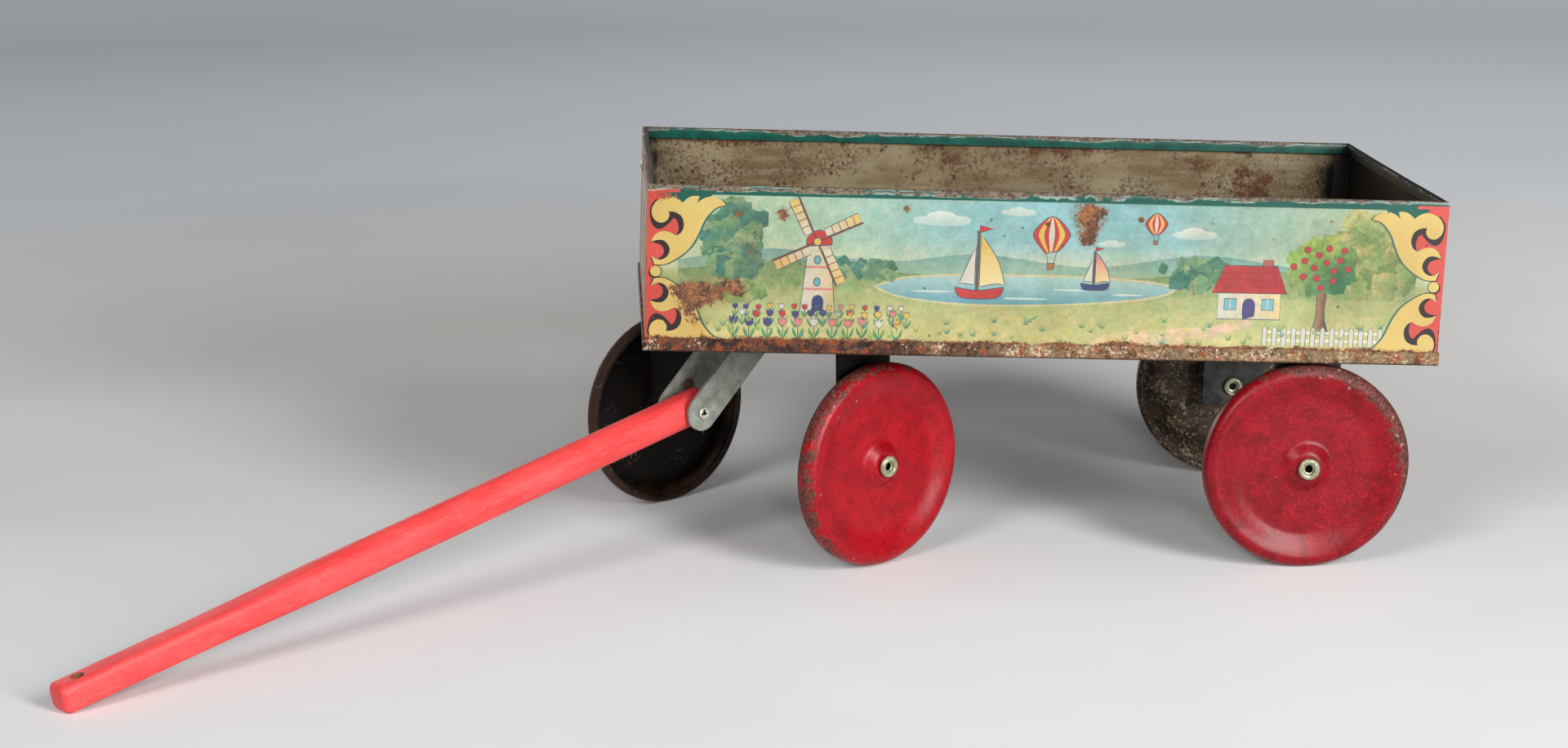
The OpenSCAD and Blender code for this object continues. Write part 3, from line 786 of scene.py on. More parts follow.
def hills(picture):
    far = smooth([(10, 29), (40, 33), (74, 29.5), (104, 32.5), (140, 29), (176, 33.5), (210, 30),
                  (244, 33)])
    near = smooth([(10, 26), (50, 29.5), (82, 26), (150, 25.5), (186, 29), (244, 27)])
    haze = fade(srgb(116, 162, 160), srgb(166, 188, 158), (0, 34), (0, 24))
    picture.lay(far + [(244, 23), (10, 23)], haze, 0.4)
    picture.lay(near + [(244, 20), (10, 20)], fade(srgb(130, 154, 110), GRASS, (0, 29), (0, 20)), 0.6)


def lake(picture):
    shore = outline([(72, 21.5), (84, 24.6), (112, 25.6), (146, 25.2), (166, 23), (158, 19.6), (132, 17.2),
                     (104, 16.6), (82, 18.4), (72, 21.5)])
    picture.lay(grown(shore, 0.7), srgb(208, 196, 152), 0.3)
    picture.lay(shore, fade(srgb(104, 160, 172), srgb(170, 200, 192), (0, 16.5), (0, 25.5)), 0.25)
    for u, v, long in ((90, 20.4, 7), (118, 18.6, 9), (136, 21.6, 8), (152, 20.4, 5), (104, 23.4, 6)):
        picture.lay(oval((u, v), long, 0.28), srgb(204, 218, 206), 0.1)


COOL_LEAVES = (srgb(58, 106, 94), srgb(86, 130, 114), srgb(118, 148, 116), srgb(154, 170, 122))
WARM_LEAVES = (srgb(112, 136, 90), srgb(146, 158, 98), srgb(176, 176, 112), srgb(198, 190, 128))


def thicket(picture, rng, u_span, v_span, count, leaves, size=2.6):
    """A wood of leafy clumps, lighter towards the top of each."""
    for k in range(count):
        u, v = rng.uniform(*u_span), v_span[1] - (v_span[1] - v_span[0]) * (k / count) ** 0.8
        u += 0.25 * (v - v_span[0]) * math.sin(k)
        r = size * rng.uniform(0.6, 1.25)
        dark, light = leaves[rng.randrange(len(leaves) - 1)], leaves[rng.randrange(1, len(leaves))]
        clump = oval((u, v), r * 1.25, r, rng.uniform(0, 6), 14, rng.choice((4, 5, 6)), 0.16)
        picture.lay(clump, fade(dark, light, (u + r, v - r), (u - r, v + r)), 0.75)


def bushes(picture, rng):
    thicket(picture, rng, (20, 34), (26, 46), 60, COOL_LEAVES, 3.2)
    thicket(picture, rng, (222, 240), (24, 46), 64, WARM_LEAVES, 3.4)
    thicket(picture, rng, (60, 80), (24.5, 29), 20, COOL_LEAVES, 2.0)
    thicket(picture, rng, (164, 184), (24, 31), 26, COOL_LEAVES, 2.3)
    thicket(picture, rng, (20, 36), (17, 22), 16, WARM_LEAVES, 2.2)


print("country inks ready")

# %% [markdown]
# The things in it: each is a handful of outlines in the print's own red, yellow, cream and blue, with a
# thin blue key line round them, as a printer's key stone would lay it.

# %% Mill, boats and balloons
RED, YELLOW, WHITE, BLUE = srgb(196, 66, 62), srgb(222, 186, 96), srgb(212, 208, 190), srgb(64, 72, 116)
PINK, VIOLET = srgb(212, 136, 126), srgb(84, 76, 126)


def mill(picture, u, v):
    """A tower mill with a red cap and four latticed sails."""
    tower = [(u - 5.4, v), (u + 5.4, v), (u + 3.3, v + 21), (u - 3.3, v + 21)]
    inked(picture, tower, fade(WHITE, srgb(214, 186, 140), (u - 4, v), (u + 5, v)), 0.3)
    for lift in (7, 14):
        half = 5.4 - lift * 0.1
        picture.lay(box(u - half, v + lift, u + half, v + lift + 0.7), PINK, 0.2)
    cap = [(-4, 21), (-3.4, 24), (0, 26), (3.4, 24), (4, 21)]
    inked(picture, outline(moved(cap, u, v)), RED)
    inked(picture, arch(u, v, 1.5, 4, 5.2), BLUE)
    for lift in (9.6, 16.6):
        inked(picture, oval((u - 0.4, v + lift), 0.9, 1.2), srgb(112, 170, 180))
    hub = (u - 0.6, v + 22.4)
    for k in range(4):
        a = math.radians(24 + 90 * k)
        along, across = np.array((math.cos(a), math.sin(a))), np.array((-math.sin(a), math.cos(a)))

        def at(far, side):
            return tuple(np.array(hub) + along * far + across * side)
        picture.lay([at(*p) for p in box(0, -0.3, 15.5, 0.3)], srgb(120, 78, 62))
        sail = [at(3.4, 0.4), at(15, 0.4), at(15, 3.4), at(3.4, 2.8)]
        inked(picture, sail, fade(WHITE, YELLOW, at(3, 0), at(15, 3)))
        for far in (5.6, 8.0, 10.4, 12.8):
            picture.lay([at(*p) for p in box(far, 0.4, far + 0.35, 3.1)], srgb(150, 110, 84))
    inked(picture, oval(hub, 1.1, 1.1), YELLOW)


def boat(picture, u, v, size, hull, sail):
    def at(points):
        return [(u + x * size, v + y * size) for x, y in points]
    picture.lay(at(oval((0.5, -0.8), 8, 0.9)), srgb(120, 160, 176), 0.3)
    inked(picture, at([(-0.25, 1), (0.25, 1), (0.2, 19), (-0.2, 19)]), srgb(132, 88, 66))
    mainsail = outline([(0.8, 2.6), (5.8, 3.6), (8.4, 3.2)], [(8.4, 3.2), (6.0, 10.5), (0.8, 18.4)],
                       [(0.8, 18.4), (0.8, 2.6)])
    inked(picture, at(mainsail), fade(sail, srgb(232, 214, 160), *at([(2, 16), (7, 3)])))
    jib = outline([(-0.8, 3.2), (-5.2, 3.6)], [(-5.2, 3.6), (-3.2, 8.6), (-0.8, 14.6)],
                  [(-0.8, 14.6), (-0.8, 3.2)])
    inked(picture, at(jib), WHITE)
    keel = outline([(-6.6, 2.2), (0, 1.3), (8.2, 2.4)],
                   [(8.2, 2.4), (6.4, -0.5), (0, -1.1), (-5, -0.5), (-6.6, 2.2)])
    inked(picture, at(keel), hull)
    inked(picture, at([(0.2, 19), (0.2, 21), (4.2, 20.2)]), RED)


def balloon(picture, u, v, r):
    """A striped balloon with its basket."""
    for x in (-0.34, 0.34):
        high, low = u + x * r, u + x * 0.5 * r
        picture.lay([(high, v - r * 0.9), (high + 0.2, v - r * 0.9), (low + 0.2, v - 1.75 * r),
                     (low, v - 1.75 * r)], LINE)
    skin = outline([(u - 0.3 * r, v - 1.15 * r), (u - 0.92 * r, v - 0.4 * r), (u - r, v + 0.15 * r),
                    (u, v + r), (u + r, v + 0.15 * r), (u + 0.92 * r, v - 0.4 * r),
                    (u + 0.3 * r, v - 1.15 * r)])
    inked(picture, skin, RED)
    for width, ink in ((0.72, YELLOW), (0.42, RED), (0.16, WHITE)):
        picture.lay([(u + (x - u) * width, y) for x, y in skin], ink, 0.15)
    basket = [(u - 0.22 * r, v - 1.75 * r), (u + 0.22 * r, v - 1.75 * r), (u + 0.17 * r, v - 2.1 * r),
              (u - 0.17 * r, v - 2.1 * r)]
    inked(picture, basket, srgb(168, 116, 76))


print("mill, boats and balloons ready")

# %% [markdown]
# The nearer things: a cottage with a fruit tree and a white fence on the right, a bed of tulips before
# the mill, a sandy path, and tufts of grass along the bottom.

# %% Cottage, orchard, tulips and grass
def cottage(picture, u, v):
    plaster = fade(WHITE, srgb(226, 200, 150), (u - 8, v), (u + 10, v))
    inked(picture, box(u - 10, v, u + 10, v + 9), plaster, 0.25)
    inked(picture, box(u + 4, v + 13, u + 7, v + 19), srgb(190, 104, 84))
    roof = [(u - 12, v + 8.4), (u + 12, v + 8.4), (u + 8.4, v + 17), (u - 8.4, v + 17)]
    inked(picture, roof, fade(RED, srgb(170, 54, 56), (u - 8, v + 16), (u + 8, v + 8)), 0.4)
    for row in range(1, 4):
        half = 12 - 0.84 * row
        picture.lay(box(u - half, v + 8.4 + 2.1 * row, u + half, v + 8.6 + 2.1 * row), srgb(150, 46, 52))
    inked(picture, arch(u, v, 1.7, 5, 6.4), VIOLET)
    for x in (u - 6, u + 6):
        inked(picture, box(x - 1.8, v + 3, x + 1.8, v + 6.4), srgb(128, 182, 190))
        picture.lay(box(x - 0.15, v + 3, x + 0.15, v + 6.4), WHITE)


def fruit_tree(picture, rng, u, v):
    trunk = outline([(u - 2.6, v), (u - 1.2, v + 6), (u - 1.4, v + 16)],
                    [(u - 1.4, v + 16), (u + 1.6, v + 16)],
                    [(u + 1.6, v + 16), (u + 1.3, v + 6), (u + 3, v)], [(u + 3, v), (u - 2.6, v)])
    inked(picture, trunk, fade(srgb(186, 144, 104), srgb(112, 78, 70), (u - 2, v), (u + 2, v)), 0.5)
    for k in range(34):
        a, far = k * 2.4, 9.4 * math.sqrt(k / 34)
        c = (u + far * math.cos(a) * 1.1, v + 22 + far * math.sin(a) * 0.85)
        sunny = 0.5 + 0.05 * (c[1] - v - 22) - 0.03 * (c[0] - u)
        light = tint(srgb(70, 124, 88), srgb(172, 190, 100), sunny)
        picture.lay(oval(c, 3.1, 2.5, rng.uniform(0, 6), 14, 5, 0.16), light, 0.8)
    for k in range(15):
        a, far = k * 2.4 + 1, 9.6 * math.sqrt((k + 0.5) / 15)
        c = (u + far * math.cos(a), v + 22 + far * math.sin(a) * 0.8)
        inked(picture, oval(c, 1.0, 1.0, count=10), RED, width=0.16)


def fence(picture, u0, u1, v):
    for rail in (1.4, 4.0):
        picture.lay(box(u0, v + rail, u1, v + rail + 0.8), srgb(228, 224, 204))
    for u in np.arange(u0, u1, 3.1):
        pale = [(u, v), (u + 1.4, v), (u + 1.4, v + 5.4), (u + 0.7, v + 6.4), (u, v + 5.4)]
        inked(picture, pale, WHITE, width=0.18)


def tulip(picture, u, v, size, ink):
    def at(*points):
        return [(u + x * size, v + y * size) for x, y in points]
    stem = [(u - 0.18, v), (u + 0.18, v), (u + 0.12, v + 4 * size), (u - 0.12, v + 4 * size)]
    picture.lay(stem, srgb(70, 120, 84))
    for side in (-1, 1):
        leaf = outline(at((0, 0), (side * 1.3, 1.6), (side * 1.5, 3.4)),
                       at((side * 1.5, 3.4), (side * 0.5, 1.8), (0, 0)))
        picture.lay(leaf, srgb(92, 150, 108), 0.4)
    cup = outline(at((-1, 5.8), (-0.9, 4.3), (0, 3.6), (0.9, 4.3), (1, 5.8)), at((1, 5.8), (0.45, 5.1)),
                  at((0.45, 5.1), (0, 6.0)), at((0, 6.0), (-0.45, 5.1)), at((-0.45, 5.1), (-1, 5.8)))
    inked(picture, cup, ink, width=0.16)


def tulip_bed(picture, rng):
    for row, (v, count, size) in enumerate(((11.2, 15, 0.72), (8.0, 13, 0.95), (4.2, 11, 1.2))):
        for k in range(count):
            u = 28 + (k + 0.5 * (row % 2)) * 56 / count + rng.uniform(-0.5, 0.5)
            foot = v + rng.uniform(-0.4, 0.4)
            tulip(picture, u, foot, size, rng.choice((RED, YELLOW, PINK, WHITE, VIOLET)))


def path(picture):
    picture.lay(outline([(189, 14.2), (180, 11), (164, 9.6), (146, 7.6), (136, 1)], [(136, 1), (172, 1)],
                        [(172, 1), (176, 5.6), (184, 9), (192, 11), (192.6, 14.2)]),
                fade(srgb(230, 204, 158), srgb(226, 190, 160), (150, 2), (190, 14)), 0.45)


TUFT_INKS = (srgb(150, 172, 92), srgb(112, 152, 100), srgb(206, 200, 112), srgb(96, 150, 130))


def tufts(picture, rng):
    for _ in range(90):
        u, v = rng.uniform(22, 234), rng.uniform(3, 12.5)
        ink = rng.choice(TUFT_INKS)
        for lean in (-1.1, -0.3, 0.6, 1.2):
            foot, tip = u + lean * 0.3, (u + lean * 1.3, v + rng.uniform(1.6, 3.2))
            picture.lay([(foot, v), (foot + 0.45, v), tip], ink, 0.3)


print("cottage, orchard, tulips and grass ready")

# %% [markdown]
# The ends carry a traditional scroll: a yellow acanthus leaf on a coral band, drawn once for the upper
# half and mirrored about a small ball at mid-height. Distances are from the wall's end and from the
# ball. A dark shape under the leaf makes its shadow, and a teal one its edge towards the picture.

# %% Scroll ends and border
CORAL, MAROON, TEAL, BORDER = srgb(216, 84, 74), srgb(48, 34, 38), srgb(42, 112, 106), srgb(8, 92, 80)
GOLD = srgb(222, 196, 116)
BALL_V = 25.0
BALL_AT, BALL_R = 3.0, 1.7
BORDER_V = 49.5

LEAF = outline(
    [(2.6, 2.1), (5.8, 2.2), (9.0, 3.8), (12.2, 6.2), (14.5, 9.0), (16.3, 12.6), (17.7, 16.0),
     (19.4, 18.5), (21.6, 20.5), (24.4, 21.3)],
    [(24.4, 21.3), (22.8, 23.1), (19.9, 23.9), (17.4, 23.2), (15.5, 21.8)], [(15.5, 21.8), (16.1, 24.0)],
    [(16.1, 24.0), (13.8, 23.9), (12.2, 23.0), (10.9, 21.8)],
    [(10.9, 21.8), (9.4, 23.0), (7.2, 23.8), (5.0, 23.3), (2.6, 21.9), (1.4, 19.4), (1.9, 16.9),
     (3.8, 15.4), (5.8, 15.8), (6.9, 17.4), (6.7, 19.0)],
    [(6.7, 19.0), (8.9, 18.7), (10.8, 17.3), (11.5, 14.7), (10.7, 12.4), (9.2, 11.4)],
    [(9.2, 11.4), (7.2, 12.4), (4.8, 12.7), (2.7, 11.6), (1.3, 9.2)],
    [(1.3, 9.2), (3.4, 9.9), (5.5, 9.7), (7.0, 8.0), (7.2, 6.1), (6.0, 4.3), (3.9, 3.6), (1.7, 4.7)],
    [(1.7, 4.7), (2.2, 3.2), (2.6, 2.1)])
CURL_SHADOW = outline(
    [(9.2, 11.4), (9.9, 13.4), (9.4, 15.9), (8.3, 16.9)],
    [(8.3, 16.9), (7.0, 15.4), (5.3, 13.9), (3.3, 13.4), (1.6, 14.9), (0.8, 18.1), (1.1, 20.6),
     (2.6, 22.8)],
    [(2.6, 22.8), (6.0, 21.0), (9.5, 19.5), (11.8, 17.2), (12.0, 14.7), (11.2, 12.0), (9.2, 11.4)])
HOOK_SHADOW = outline([(1.3, 9.2), (3.6, 8.7), (4.9, 7.9), (5.5, 6.3), (4.8, 4.8), (3.2, 3.9), (1.7, 4.7)],
                      [(1.7, 4.7), (6.0, 3.4), (7.9, 6.0), (7.0, 9.2), (4.0, 10.6), (1.3, 9.2)])
BAND = [(0, -26), (10, -26), (12, -17), (11.5, -11), (8, -5), (4, -1.6), (4, 1.6), (8, 5), (11.5, 11),
        (12, 17), (10, 26), (0, 26)]
NOTCH = [(6, 25), (21, 25), (17, 22), (11, 20.5), (8, 22)]


def scroll_ends(picture, middle=BALL_V, scale=1.0):
    """Both ends of the panel, each an upper half and its mirror image."""
    for end in (0, 1):
        def put(points, half=1, du=0.0, dv=0.0):
            placed = [(scale * (a + du), middle + half * scale * (b + dv)) for a, b in points]
            return [(picture.width - u, v) for u, v in placed] if end else placed
        picture.lay(put(BAND), CORAL, 0.1)
        for half in (1, -1):
            picture.lay(put(NOTCH, half), BORDER, 0.1)
            picture.lay(put(LEAF, half, 0.62, -0.12), TEAL, 0.1)
            picture.lay(put(LEAF, half, -0.3, -0.35), MAROON)
            picture.lay(put(CURL_SHADOW, half), MAROON)
            picture.lay(put(HOOK_SHADOW, half), MAROON)
            picture.lay(put(LEAF, half), GOLD, 0.06)
        ball = oval((BALL_AT, 0), BALL_R, BALL_R)
        picture.lay(put(grown(moved(ball, -0.25, -0.35), 0.25)), MAROON)
        picture.lay(put(moved(ball, 0.4, 0)), TEAL)
        picture.lay(put(ball), GOLD, 0.06)


def top_border(picture, low):
    picture.lay(box(0, low, picture.width, picture.height), BORDER, 0.15)


def country_scene():
    rng = random.Random(11)
    picture = Picture(SIDE_L, WALL_FLAT, open_country)
    clouds(picture)
    hills(picture)
    lake(picture)
    bushes(picture, rng)
    balloon(picture, 127, 39.5, 5.4)
    balloon(picture, 160, 43.5, 3.2)
    boat(picture, 104, 19.5, 1.05, RED, YELLOW)
    boat(picture, 141, 22.5, 0.62, BLUE, PINK)
    mill(picture, 54, 13)
    fruit_tree(picture, rng, 214, 9)
    path(picture)
    cottage(picture, 191, 13.5)
    tulip_bed(picture, rng)
    fence(picture, 196, 236, 5.0)
    tufts(picture, rng)
    top_border(picture, BORDER_V)
    scroll_ends(picture)
    return picture


side_picture = country_scene()
print("side picture", len(side_picture.outlines), "shapes")

# %% [markdown]
# The end walls are printed coral all over, framed in green, with the same leaf small at each side and a
# rosette of petals in the middle.

# %% Picture for the end walls
def end_scene():
    picture = Picture(END_L, WALL_FLAT, lambda u, v: CORAL)
    top_border(picture, BORDER_V)
    scroll_ends(picture)
    middle = END_L / 2
    frame_line = box(middle - 30, 10, middle + 30, 42)
    for grow, ink in ((1.2, MAROON), (0.6, GOLD), (-0.6, srgb(214, 216, 160))):
        picture.lay(grown(frame_line, grow), ink, 0.15)
    for reach, count, ink in ((12, 12, srgb(120, 168, 140)), (10, 12, RED), (7, 8, GOLD)):
        for k in range(count):
            a = 2 * math.pi * (k + reach) / count
            c = (middle + 0.62 * reach * math.cos(a), 26 + 0.62 * reach * math.sin(a))
            inked(picture, oval(c, 0.42 * reach, 0.17 * reach, a), ink, 0.2)
    inked(picture, oval((middle, 26), 2.4, 2.4), MAROON)
    inked(picture, oval((middle, 26), 1.4, 1.4), GOLD)
    return picture


end_picture = end_scene()
print("end picture", len(end_picture.outlines), "shapes")

# %% [markdown]
# A wall is one sheet: the printed face, the fold at its top, the short inner leg of the safe edge, and
# the bare inside. The printed face comes from the triangulated picture. The rest is a section drawn
# along the wall, with the same stations as the picture's border, so that the two weld into a closed
# sheet. Attributes carry the ink, the likelihood of rust, the way from the crest, and painted shade with tarnish.

# %% Triangulate a picture
INSET = 0.02
LIP_ROWS = (LIP_TOP, LIP_TOP + 1.0, LIP_TOP + 2.2)


def stations(length):
    return np.linspace(0, length, round(length / STEP) + 1)


def triangulated(picture, extra):
    """Points, triangles, and the number of the topmost shape on each triangle."""
    w, h = picture.width, picture.height
    us, vs = stations(w), stations(h)
    border = [(u, 0) for u in us] + [(w, v) for v in vs[1:]]
    border += [(u, h) for u in us[-2::-1]] + [(0, v) for v in vs[-2:0:-1]]
    points, faces = list(border), [list(range(len(border)))]
    for shape in picture.outlines:
        start = len(points)
        points += [(min(max(u, INSET), w - INSET), min(max(v, INSET), h - INSET)) for u, v in shape]
        faces.append(list(range(start, len(points))))
    points += [(u, v) for u in us[1:-1] for v in [*vs[1:-1], *LIP_ROWS]]
    points += [(u, v) for u, v in extra if 1 < u < w - 1 and 1 < v < h - 1]
    corners, _, triangles, _, _, sources = delaunay_2d_cdt([Vector(p) for p in points], [], faces, 0, 1e-5)
    return corners, triangles, [max(s) for s in sources]


print("triangulation ready")

# %% [markdown]
# The section of the hem, from the top of the printed face round the fold and down to the foot of the
# inside. Depth is measured inwards from the printed face. Each row says which finish the strip that
# follows it has. Ends of the folded part are mitred, so that the four safe edges meet at the corners.

# %% Section of a wall
PRINT, EDGE, TIN = 0, 1, 2
FOLD_STEPS = 8
LEG_ROW = 2.4


def hem_rows():
    """Rows of (depth, height, finish of the strip after it), from the print's top edge to its foot."""
    rows = []
    for k in range(FOLD_STEPS + 1):
        a = math.pi * (1 - k / FOLD_STEPS)
        rows.append((HEM_R + HEM_R * math.cos(a), WALL_FLAT + HEM_R * math.sin(a), EDGE))
    leg, foot = 2 * HEM_R, WALL_TOP - HEM_DEEP
    rows += [(leg, WALL_TOP - LEG_ROW, EDGE), (leg, foot + SHEAR_EASE, EDGE),
             (leg - SHEAR_EASE, foot, TIN), (leg - SHEET, foot, TIN)]
    r = HEM_R - SHEET
    for k in range(FOLD_STEPS // 2 + 1):
        a = math.pi * k / (FOLD_STEPS // 2)
        rows.append((HEM_R + r * math.cos(a), WALL_FLAT + r * math.sin(a), TIN))
    rows += [(SHEET, v, TIN) for v in stations(WALL_FLAT)[::-1][1:]]
    return rows + [(0.0, 0.0, TIN)]


HEM_ROWS = hem_rows()
print("rows in a wall's section", len(HEM_ROWS))

# %% [markdown]
# Wear is painted as blots: each has a place on the wall, a size and a strength, read from the near wall
# of the real toy and in the same spirit elsewhere. Scuffs bring the rubbed edge further down the wall.
# The picture gets extra points at each blot, so that the small ones keep their shape.

# %% Wear on the walls
# Blots are (distance from the wall's left end, height, half width, half height, strength)
NEAR_BLOTS = [(17, 17.5, 12, 6.5, 0.90), (27, 20.5, 9, 5, 0.76), (18, 9.5, 8, 5, 0.62),
              (42.6, 43.6, 4.0, 3.4, 0.84), (138.5, 46.0, 7.5, 5.6, 0.94), (139.5, 42.0, 5.2, 4.5, 0.88),
              (139, 38.5, 4.4, 5.0, 0.82), (28, 43.5, 3.6, 2.4, 0.72), (81, 46.6, 1.7, 1.7, 1.0),
              (125.5, 42.6, 1.3, 1.3, 1.0), (155, 44.6, 1.3, 1.3, 1.0), (137.5, 37.0, 1.2, 1.2, 1.0),
              (5, 49, 8, 3, 0.6), (152, 4.5, 14, 1.6, 0.8), (33, 30, 4, 7, 0.5)]
FAR_BLOTS = [(60, 44, 10, 6, 0.82), (118, 16, 8, 8, 0.76), (176, 40, 5, 5, 0.8), (214, 12, 12, 6, 0.8),
             (20, 30, 5, 5, 0.7)]
END_BLOTS = [(14, 42, 8, 6, 0.82), (70, 12, 10, 6, 0.76), (108, 36, 6, 8, 0.76)]
INNER_BLOTS = [(110, 45.0, 3.4, 3.2, 0.95), (70, 41.5, 8, 1.5, 0.80), (30, 47.5, 30, 1.6, 0.62),
               (104, 47.6, 9, 1.4, 0.7), (150, 47.6, 30, 1.6, 0.66), (196, 42, 20, 7, 0.60),
               (219, 36, 12, 16, 0.70), (66, 33, 14, 3, 0.5)]
# Scuffs are (distance, half width, how far they bring the rubbed edge down)
NEAR_SCUFFS = [(118, 19, 1.9), (201, 9, 2.6), (3, 7, 1.4), (62, 10, 0.5), (165, 10, 0.6)]
OTHER_SCUFFS = [(34, 16, 0.8), (96, 20, 1.0), (190, 22, 1.2)]
BLOT_GRID = np.linspace(-1.8, 1.8, 7)
CREEP, CREEP_FALL = 0.78, 0.34
# Buckles of the sheet are (depth, length of a wave, share of the wall's seed)
BUCKLES = ((0.15, 23, 1), (0.06, 9.7, 2))


def blotted(u, v, blots):
    """How likely rust is at a place: the strongest of the blots there."""
    return max(s * math.exp(-((u - bu) / hu) ** 2 - ((v - bv) / hv) ** 2) for bu, bv, hu, hv, s in blots)


def along_wall(u, marks):
    """Scuffs, or other marks of the same kind, summed at a distance along the wall."""
    return sum(most * math.exp(-((u - at) / half) ** 2) for at, half, most in marks)


def creeping(v):
    """Rust that creeps up the wall from the pan's lip."""
    return CREEP - CREEP_FALL * max(0.0, v - LIP_TOP)


def blot_points(blots):
    return [(bu + a * hu, bv + b * hv) for bu, bv, hu, hv, _ in blots
            for a in BLOT_GRID for b in BLOT_GRID]


def buckled(u, v, seed, length):
    """How far the thin sheet stands in from true, in millimetres."""
    lifted = math.sin(math.pi * min(v / WALL_TOP, 1.0) / 2) * math.sin(math.pi * u / length)
    return lifted * sum(deep * (1 + math.sin(u / long + share * seed)) for deep, long, share in BUCKLES)


drawn = {}
for name, picture, blots in (("side", side_picture, NEAR_BLOTS + FAR_BLOTS),
                             ("end", end_picture, END_BLOTS)):
    corners, triangles, tops = triangulated(picture, blot_points(blots))
    drawn[name] = picture, corners, triangles, tops
    print(name, "panel", len(corners), "points", len(triangles), "triangles")

# %% [markdown]
# The sheet itself: the triangles of the picture, the rows of the hem swept along the wall, and a cap at
# each end, welded. Every point gets its damp, its way from the crest and its painted shade with tarnish as it is
# made.

# %% Build a wall
QUARTER = HEM_R * math.pi / 2
INSIDE_RUST, END_RUST = 0.25, 0.3
HEM_RUST, HEM_RUST_SWING, HEM_RUST_WAVE = 0.32, 0.12, 13


def from_crest(depth, v):
    """The way along the sheet from the crest of the fold, in millimetres."""
    if v < WALL_FLAT:
        return QUARTER + WALL_FLAT - v
    return abs(math.atan2(depth - HEM_R, v - WALL_FLAT)) * HEM_R


def plain_mesh(bm, name):
    """The mesh of a bmesh, which is let go, with a word on whether it is closed."""
    mesh = bpy.data.meshes.new(name)
    bm.to_mesh(mesh)
    closed = all(edge.is_manifold for edge in bm.edges)
    print(name, "closed", closed, "volume", round(bm.calc_volume(signed=True) / MM ** 3), "mm3")
    bm.free()
    return mesh


def wall_piece(key, seed, mitre_from, wear):
    """A wall's mesh in its own frame: X along it as seen from outside, Y inwards, Z up."""
    picture, corners, triangles, tops = drawn[key]
    blots, inner_blots, scuffs, tarnish = wear
    length = picture.width
    us = stations(length)
    bm = bmesh.new()
    ink = bm.loops.layers.float_color.new("ink")
    rust, edge, dark = [bm.verts.layers.float.new(name) for name in ("rust", "edge", "tarnish")]

    def vertex(u, depth, v, damp):
        made = bm.verts.new(Vector((u, depth + buckled(u, v, seed, length), v)) * MM)
        made[rust] = damp
        made[edge] = (from_crest(depth, v) - along_wall(u, scuffs)) * MM
        made[dark] = tarnish(u)
        return made

    panel = [vertex(u, 0, v, max(blotted(u, v, blots), creeping(v))) for u, v in corners]
    for triangle, top in zip(triangles, tops):
        face = bm.faces.new([panel[i] for i in triangle])
        rule, dab = picture.inks[top]
        for loop, i in zip(face.loops, triangle):
            loop[ink] = (*rule(*corners[i])[:3], dab)
    rows = []
    for depth, v, _ in HEM_ROWS:
        inset = max(0.0, depth - mitre_from) if v >= WALL_FLAT or depth > SHEET else 0.0
        reach = np.clip(us, inset, length - inset)
        inside = depth >= SHEET and v < WALL_FLAT
        if inside:
            damp = [max(INSIDE_RUST, blotted(u, v, inner_blots)) for u in reach]
        else:
            damp = [HEM_RUST + HEM_RUST_SWING * math.sin(u / HEM_RUST_WAVE + seed) for u in reach]
        rows.append([vertex(u, depth, v, wet) for u, wet in zip(reach, damp)])
    for row, after, (_, _, finish) in zip(rows, rows[1:], HEM_ROWS):
        for a, b, c, d in zip(row, row[1:], after[1:], after):
            bm.faces.new((a, b, c, d)).material_index = finish
    for end in (0, -1):
        side = [vertex(us[end], 0, v, END_RUST) for v in stations(WALL_FLAT)[1:-1]]
        ring = [row[end] for row in rows] + side
        bm.faces.new(ring[::-1] if end else ring).material_index = TIN
    bmesh.ops.remove_doubles(bm, verts=bm.verts, dist=INSET / 4 * MM)
    return plain_mesh(bm, f"{key}_wall")


print("a quarter of the fold is", round(QUARTER, 2), "mm long")

# %% [markdown]
# Pieces are put in the scene by one function: it smooths the mesh up to a crease angle, rides the piece
# on its body, hides the CAD nodes it stands for, and adds the finishes it is given. Two more lend a mesh
# to a passing object for a modifier, and take the mesh that the modifier leaves.

# %% Put a piece on its body
CREASE = math.radians(38)


def show(name, mesh, body, nodes=(), finishes=()):
    mesh.name = name
    for finish in finishes:
        mesh.materials.append(finish)
    mesh.polygons.foreach_set("use_smooth", [True] * len(mesh.polygons))
    mesh.set_sharp_from_angle(angle=CREASE)
    made = bpy.data.objects.new(name, mesh)
    scene.collection.objects.link(made)
    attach(made, body)
    if nodes:
        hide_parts(*nodes)
    return made


def held(mesh):
    """A passing object that carries a modifier."""
    holder = bpy.data.objects.new("holder", mesh)
    scene.collection.objects.link(holder)
    return holder


def applied(holder):
    """The mesh that an object's modifiers leave. The object itself goes."""
    graph = bpy.context.evaluated_depsgraph_get()
    mesh = bpy.data.meshes.new_from_object(holder.evaluated_get(graph), preserve_all_data_layers=True,
                                           depsgraph=graph)
    bpy.data.objects.remove(holder)
    return mesh


WALL_FINISHES = (PRINT_FINISH, EDGE_FINISH, TIN_FINISH)
half_l, half_w = SIDE_L / 2, PAN_W / 2 - SHEET
FAR_INNER = [(SIDE_L - u, *rest) for u, *rest in INNER_BLOTS]
# Painted shade with some tarnish at the far wall's ends is (distance, half width, strength)
FAR_TARNISH_AND_SHADE = [(0, 11, 0.75), (SIDE_L, 9, 0.45)]
